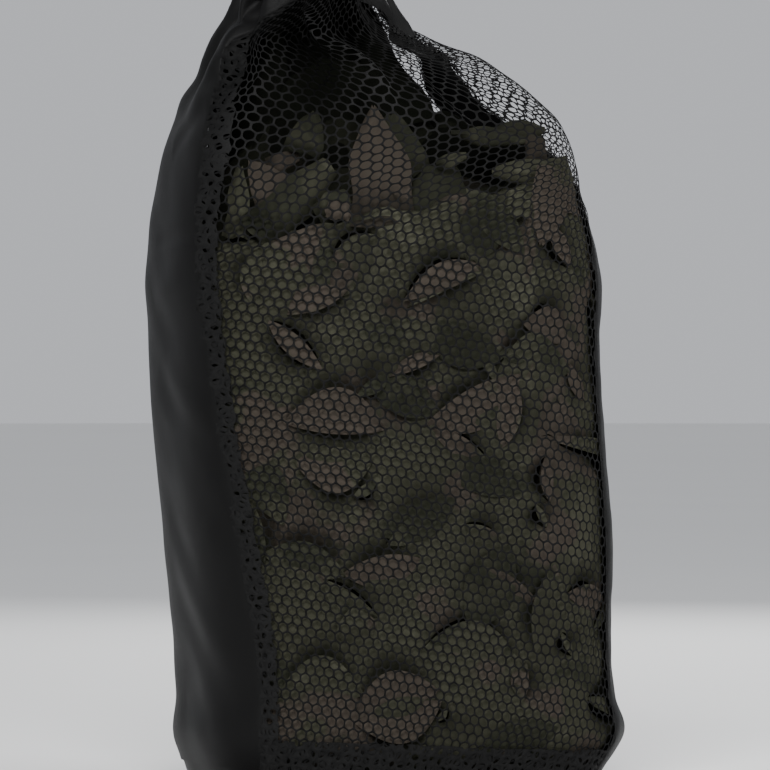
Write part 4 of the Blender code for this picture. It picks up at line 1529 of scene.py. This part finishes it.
def front_depth(shown, heights):
    """Depths of the mesh at places in the picture."""
    level = np.clip((heights - DEPTH_LEVELS[0]) / DEPTH_STEP, 0.0, len(DEPTH_LEVELS) - 1.001)
    place = np.clip((shown - DEPTH_PLACES[0]) / PLACE_STEP, 0.0, len(DEPTH_PLACES) - 1.001)
    low, left = level.astype(int), place.astype(int)
    rise, run = level - low, place - left
    below = FRONT_DEPTHS[low, left] * (1.0 - run) + FRONT_DEPTHS[low, left + 1] * run
    above = FRONT_DEPTHS[low + 1, left] * (1.0 - run) + FRONT_DEPTHS[low + 1, left + 1] * run
    return below * (1.0 - rise) + above * rise


def blade_place(blade, along, across):
    """A blade's placed points, its cloth coordinates and its painted shade. across runs from -0.5 to 0.5."""
    root_x, root_z = seen(blade.root_x, blade.root_y)
    tip_x, tip_z = seen(blade.tip_x, blade.tip_y)
    run_x, run_z = tip_x - root_x, tip_z - root_z
    length = math.hypot(run_x, run_z)
    root, middle, tip = blade.widths
    width = root + (middle - root) * smooth_step(0.0, 0.5, along)
    width = width + (tip - middle) * np.clip(along * 2.0 - 1.0, 0.0, 1.0) ** 1.5
    offset = across * width * (1.0 + EDGE_WANDER * np.sin(along * 11.0 + length))
    shown = root_x + run_x * along + offset * run_z / length + RUN_WANDER * length * np.sin(along * 5.0)
    up = root_z + run_z * along - offset * run_x / length + RISE_WANDER * np.sin(across * 9.0 + along * 3.0)
    cut = (np.stack((shown, up), axis=-1) + np.array(BLADE_PRINT_STEP) * blade.tone) / 1000.0
    shown, up = shown / 1000.0, up / 1000.0
    limits = FRONT_LIMITS[np.clip(np.searchsorted(DEPTH_LEVELS, up), 0, len(DEPTH_LEVELS) - 1)]
    shown = np.clip(shown, limits[:, 0] + WALL_CLEARANCE, limits[:, 1] - WALL_CLEARANCE)
    behind = np.interp(along, (0.0, 1.0), blade.behind)
    ripple = BLADE_TWIST * np.sin(along * 7.0 + root_x) * across * 2.0
    bulge = blade.bulge * ((1.0 - (across * 2.0) ** 2) - BLADE_BEND * np.sin(along * 3.0))
    depth = front_depth(shown, up) + np.maximum(behind + ripple - bulge, LEAST_BEHIND) / 1000.0
    # The bag's far wall holds the blade in: it comes forward until it is inside
    lean = on_rows(RINGS, "lean", up)
    for _ in range(WALL_ROUNDS):
        x = (shown - depth * math.sin(VIEW_TURN)) / math.cos(VIEW_TURN)
        wall = bag(np.degrees(np.arctan2(x - lean, -depth)), up)
        room = np.hypot(wall[:, 0] - lean, wall[:, 1]) - WALL_CLEARANCE
        share = np.minimum(room / np.hypot(x - lean, depth), 1.0)
        depth = np.where(depth > 0.0, depth * share, depth)
    x = (shown - depth * math.sin(VIEW_TURN)) / math.cos(VIEW_TURN)
    # painted shade at a blade's root and far behind the mesh
    root_shade = ROOT_SHADE * (1.0 - smooth_step(*ROOT_RUN, along)) * smooth_step(*ROOT_DEPTHS, behind)
    shade = np.maximum(FAR_SHADE * smooth_step(*FAR_DEPTHS, behind), root_shade)
    return np.stack((lean + (x - lean) * share, depth * share, up), axis=-1), cut, shade


def cut_sheet(leaves):
    """The net's flat sheet, with the holes beside its leaves."""
    rows = folded_rows()
    shape = bmesh.new()
    bmesh.ops.create_grid(shape, x_segments=NET_COLUMNS, y_segments=len(rows) - 1, size=1.0)
    for vertex in shape.verts:
        vertex.co.y = rows[round((vertex.co.y + 1.0) / 2.0 * (len(rows) - 1))]
    sheet = in_scene("net_sheet", to_mesh("net_sheet", shape))
    cutter = hole_cutter(leaves)
    holes = sheet.modifiers.new("Leaf holes", "BOOLEAN")
    holes.operation = "DIFFERENCE"
    holes.object = cutter
    graph = bpy.context.evaluated_depsgraph_get()
    shape = bmesh.new()
    shape.from_mesh(bpy.data.meshes.new_from_object(sheet.evaluated_get(graph)))
    bpy.data.objects.remove(sheet)
    bpy.data.objects.remove(cutter)
    return shape


def camouflage_net():
    """The net: one sheet folded front to back, with leaf flaps on its outer faces and loose ones above."""
    leaves = [PlacedLeaf(leaf, back) for back in (False, True) for leaf in LEAVES]
    shape = cut_sheet(leaves)
    sheet_count = len(shape.verts)
    patches = [(flap_place, leaf, leaf.leaf.tone) for leaf in leaves]
    patches += [(blade_place, blade, blade.tone) for blade in BLADES]
    join_flat(shape, flap_patches(len(patches)), 0.0)
    tones, shades = np.zeros((2, len(shape.verts)))

    def place(flat):
        placed, cut = np.zeros(flat.shape), np.zeros((len(flat), 2))
        sheet = slice(sheet_count)
        across, along = flat[sheet, 0], flat[sheet, 1]
        placed[sheet], shades[sheet], deep_shade_share = sheet_place(across, along, leaves)
        # painted deep shade on the tops of the inner folds
        tones[sheet] = DEEP_SHADE_TONE * deep_shade_share
        cut[sheet] = np.stack((across * OUTER_HALF_ARC, along), axis=-1)
        numbers = np.round(flat[:, 2]).astype(int)
        numbers[sheet] = -1
        for number, (place_patch, patch, tone) in enumerate(patches):
            chosen = numbers == number
            placed[chosen], cut[chosen], shades[chosen] = place_patch(patch, flat[chosen, 0], flat[chosen, 1])
            tones[chosen] = tone
        return placed, cut

    made = cloth_object("folded_net", "camouflage_net", "camouflage_cloth", shape, place)
    set_attribute(made, "tone", tones)
    set_attribute(made, "shade", shades)


# --- The set


def floor():
    shape = bmesh.new()
    bmesh.ops.create_circle(shape, cap_ends=True, segments=96, radius=9.0)
    mesh = to_mesh("floor", shape)
    mesh.materials.append(floor_finish())
    in_scene("floor", mesh)


def soft_light(name, place, aim, size, watts):
    data = bpy.data.lights.new(name, "AREA")
    data.shape = "SQUARE"
    data.size = size
    data.energy = watts
    made = in_scene(name, data)
    made.location = place
    made.rotation_euler = (Vector(aim) - Vector(place)).to_track_quat("-Z", "Y").to_euler()


def lights():
    world = bpy.data.worlds.new("studio")
    world.use_nodes = True
    back = world.node_tree.nodes["Background"]
    back.inputs["Color"].default_value = (0.93, 0.95, 1.0, 1.0)
    back.inputs["Strength"].default_value = 0.60
    bpy.context.scene.world = world
    middle = (0.0, 0.0, 0.22)
    soft_light("key", (-0.62, -1.42, 1.22), middle, 0.60, 46.0)
    soft_light("fill", (1.5, -1.1, 0.9), middle, 1.0, 27.0)
    soft_light("rim", (0.9, 1.7, 1.0), middle, 0.9, 16.0)


def camera():
    """A camera whose picture is FRAME_HEIGHT high at the bag."""
    data = bpy.data.cameras.new("camera")
    data.lens = data.sensor_width * VIEW_DISTANCE / FRAME_HEIGHT
    made = in_scene("camera", data)
    rise = math.radians(VIEW_ELEVATION)
    right = Vector((math.cos(VIEW_TURN), math.sin(VIEW_TURN), 0.0))
    back = Vector((right.y * math.cos(rise), -right.x * math.cos(rise), math.sin(rise)))
    target = Vector(SHIFT) + right * VIEW_MIDDLE_ACROSS + Vector((0.0, 0.0, VIEW_MIDDLE_HEIGHT))
    made.location = target + back * VIEW_DISTANCE
    made.rotation_euler = back.to_track_quat("Z", "Y").to_euler()
    bpy.context.scene.camera = made


FINISHES = {
    "camouflage_cloth": camouflage_finish(),
    "black_mesh": mesh_finish(),
    "black_nylon": nylon_finish(),
}

camera()
knitted_panel("mesh_front_knit", "mesh_front", left_seam, right_seam, MESH_TURN, FRONT_CREASES, 11)
knitted_panel("mesh_back_knit", "mesh_back", right_back_seam, left_back_seam, -MESH_TURN, BACK_CREASES, 21)
nylon_panel("side_left", left_back_seam, left_seam, LEFT_CREASES, 61)
nylon_panel("side_right", right_seam, right_back_seam, RIGHT_CREASES, 71)
base_cloth()
mouth_ruffle()
camouflage_net()
floor()
lights()
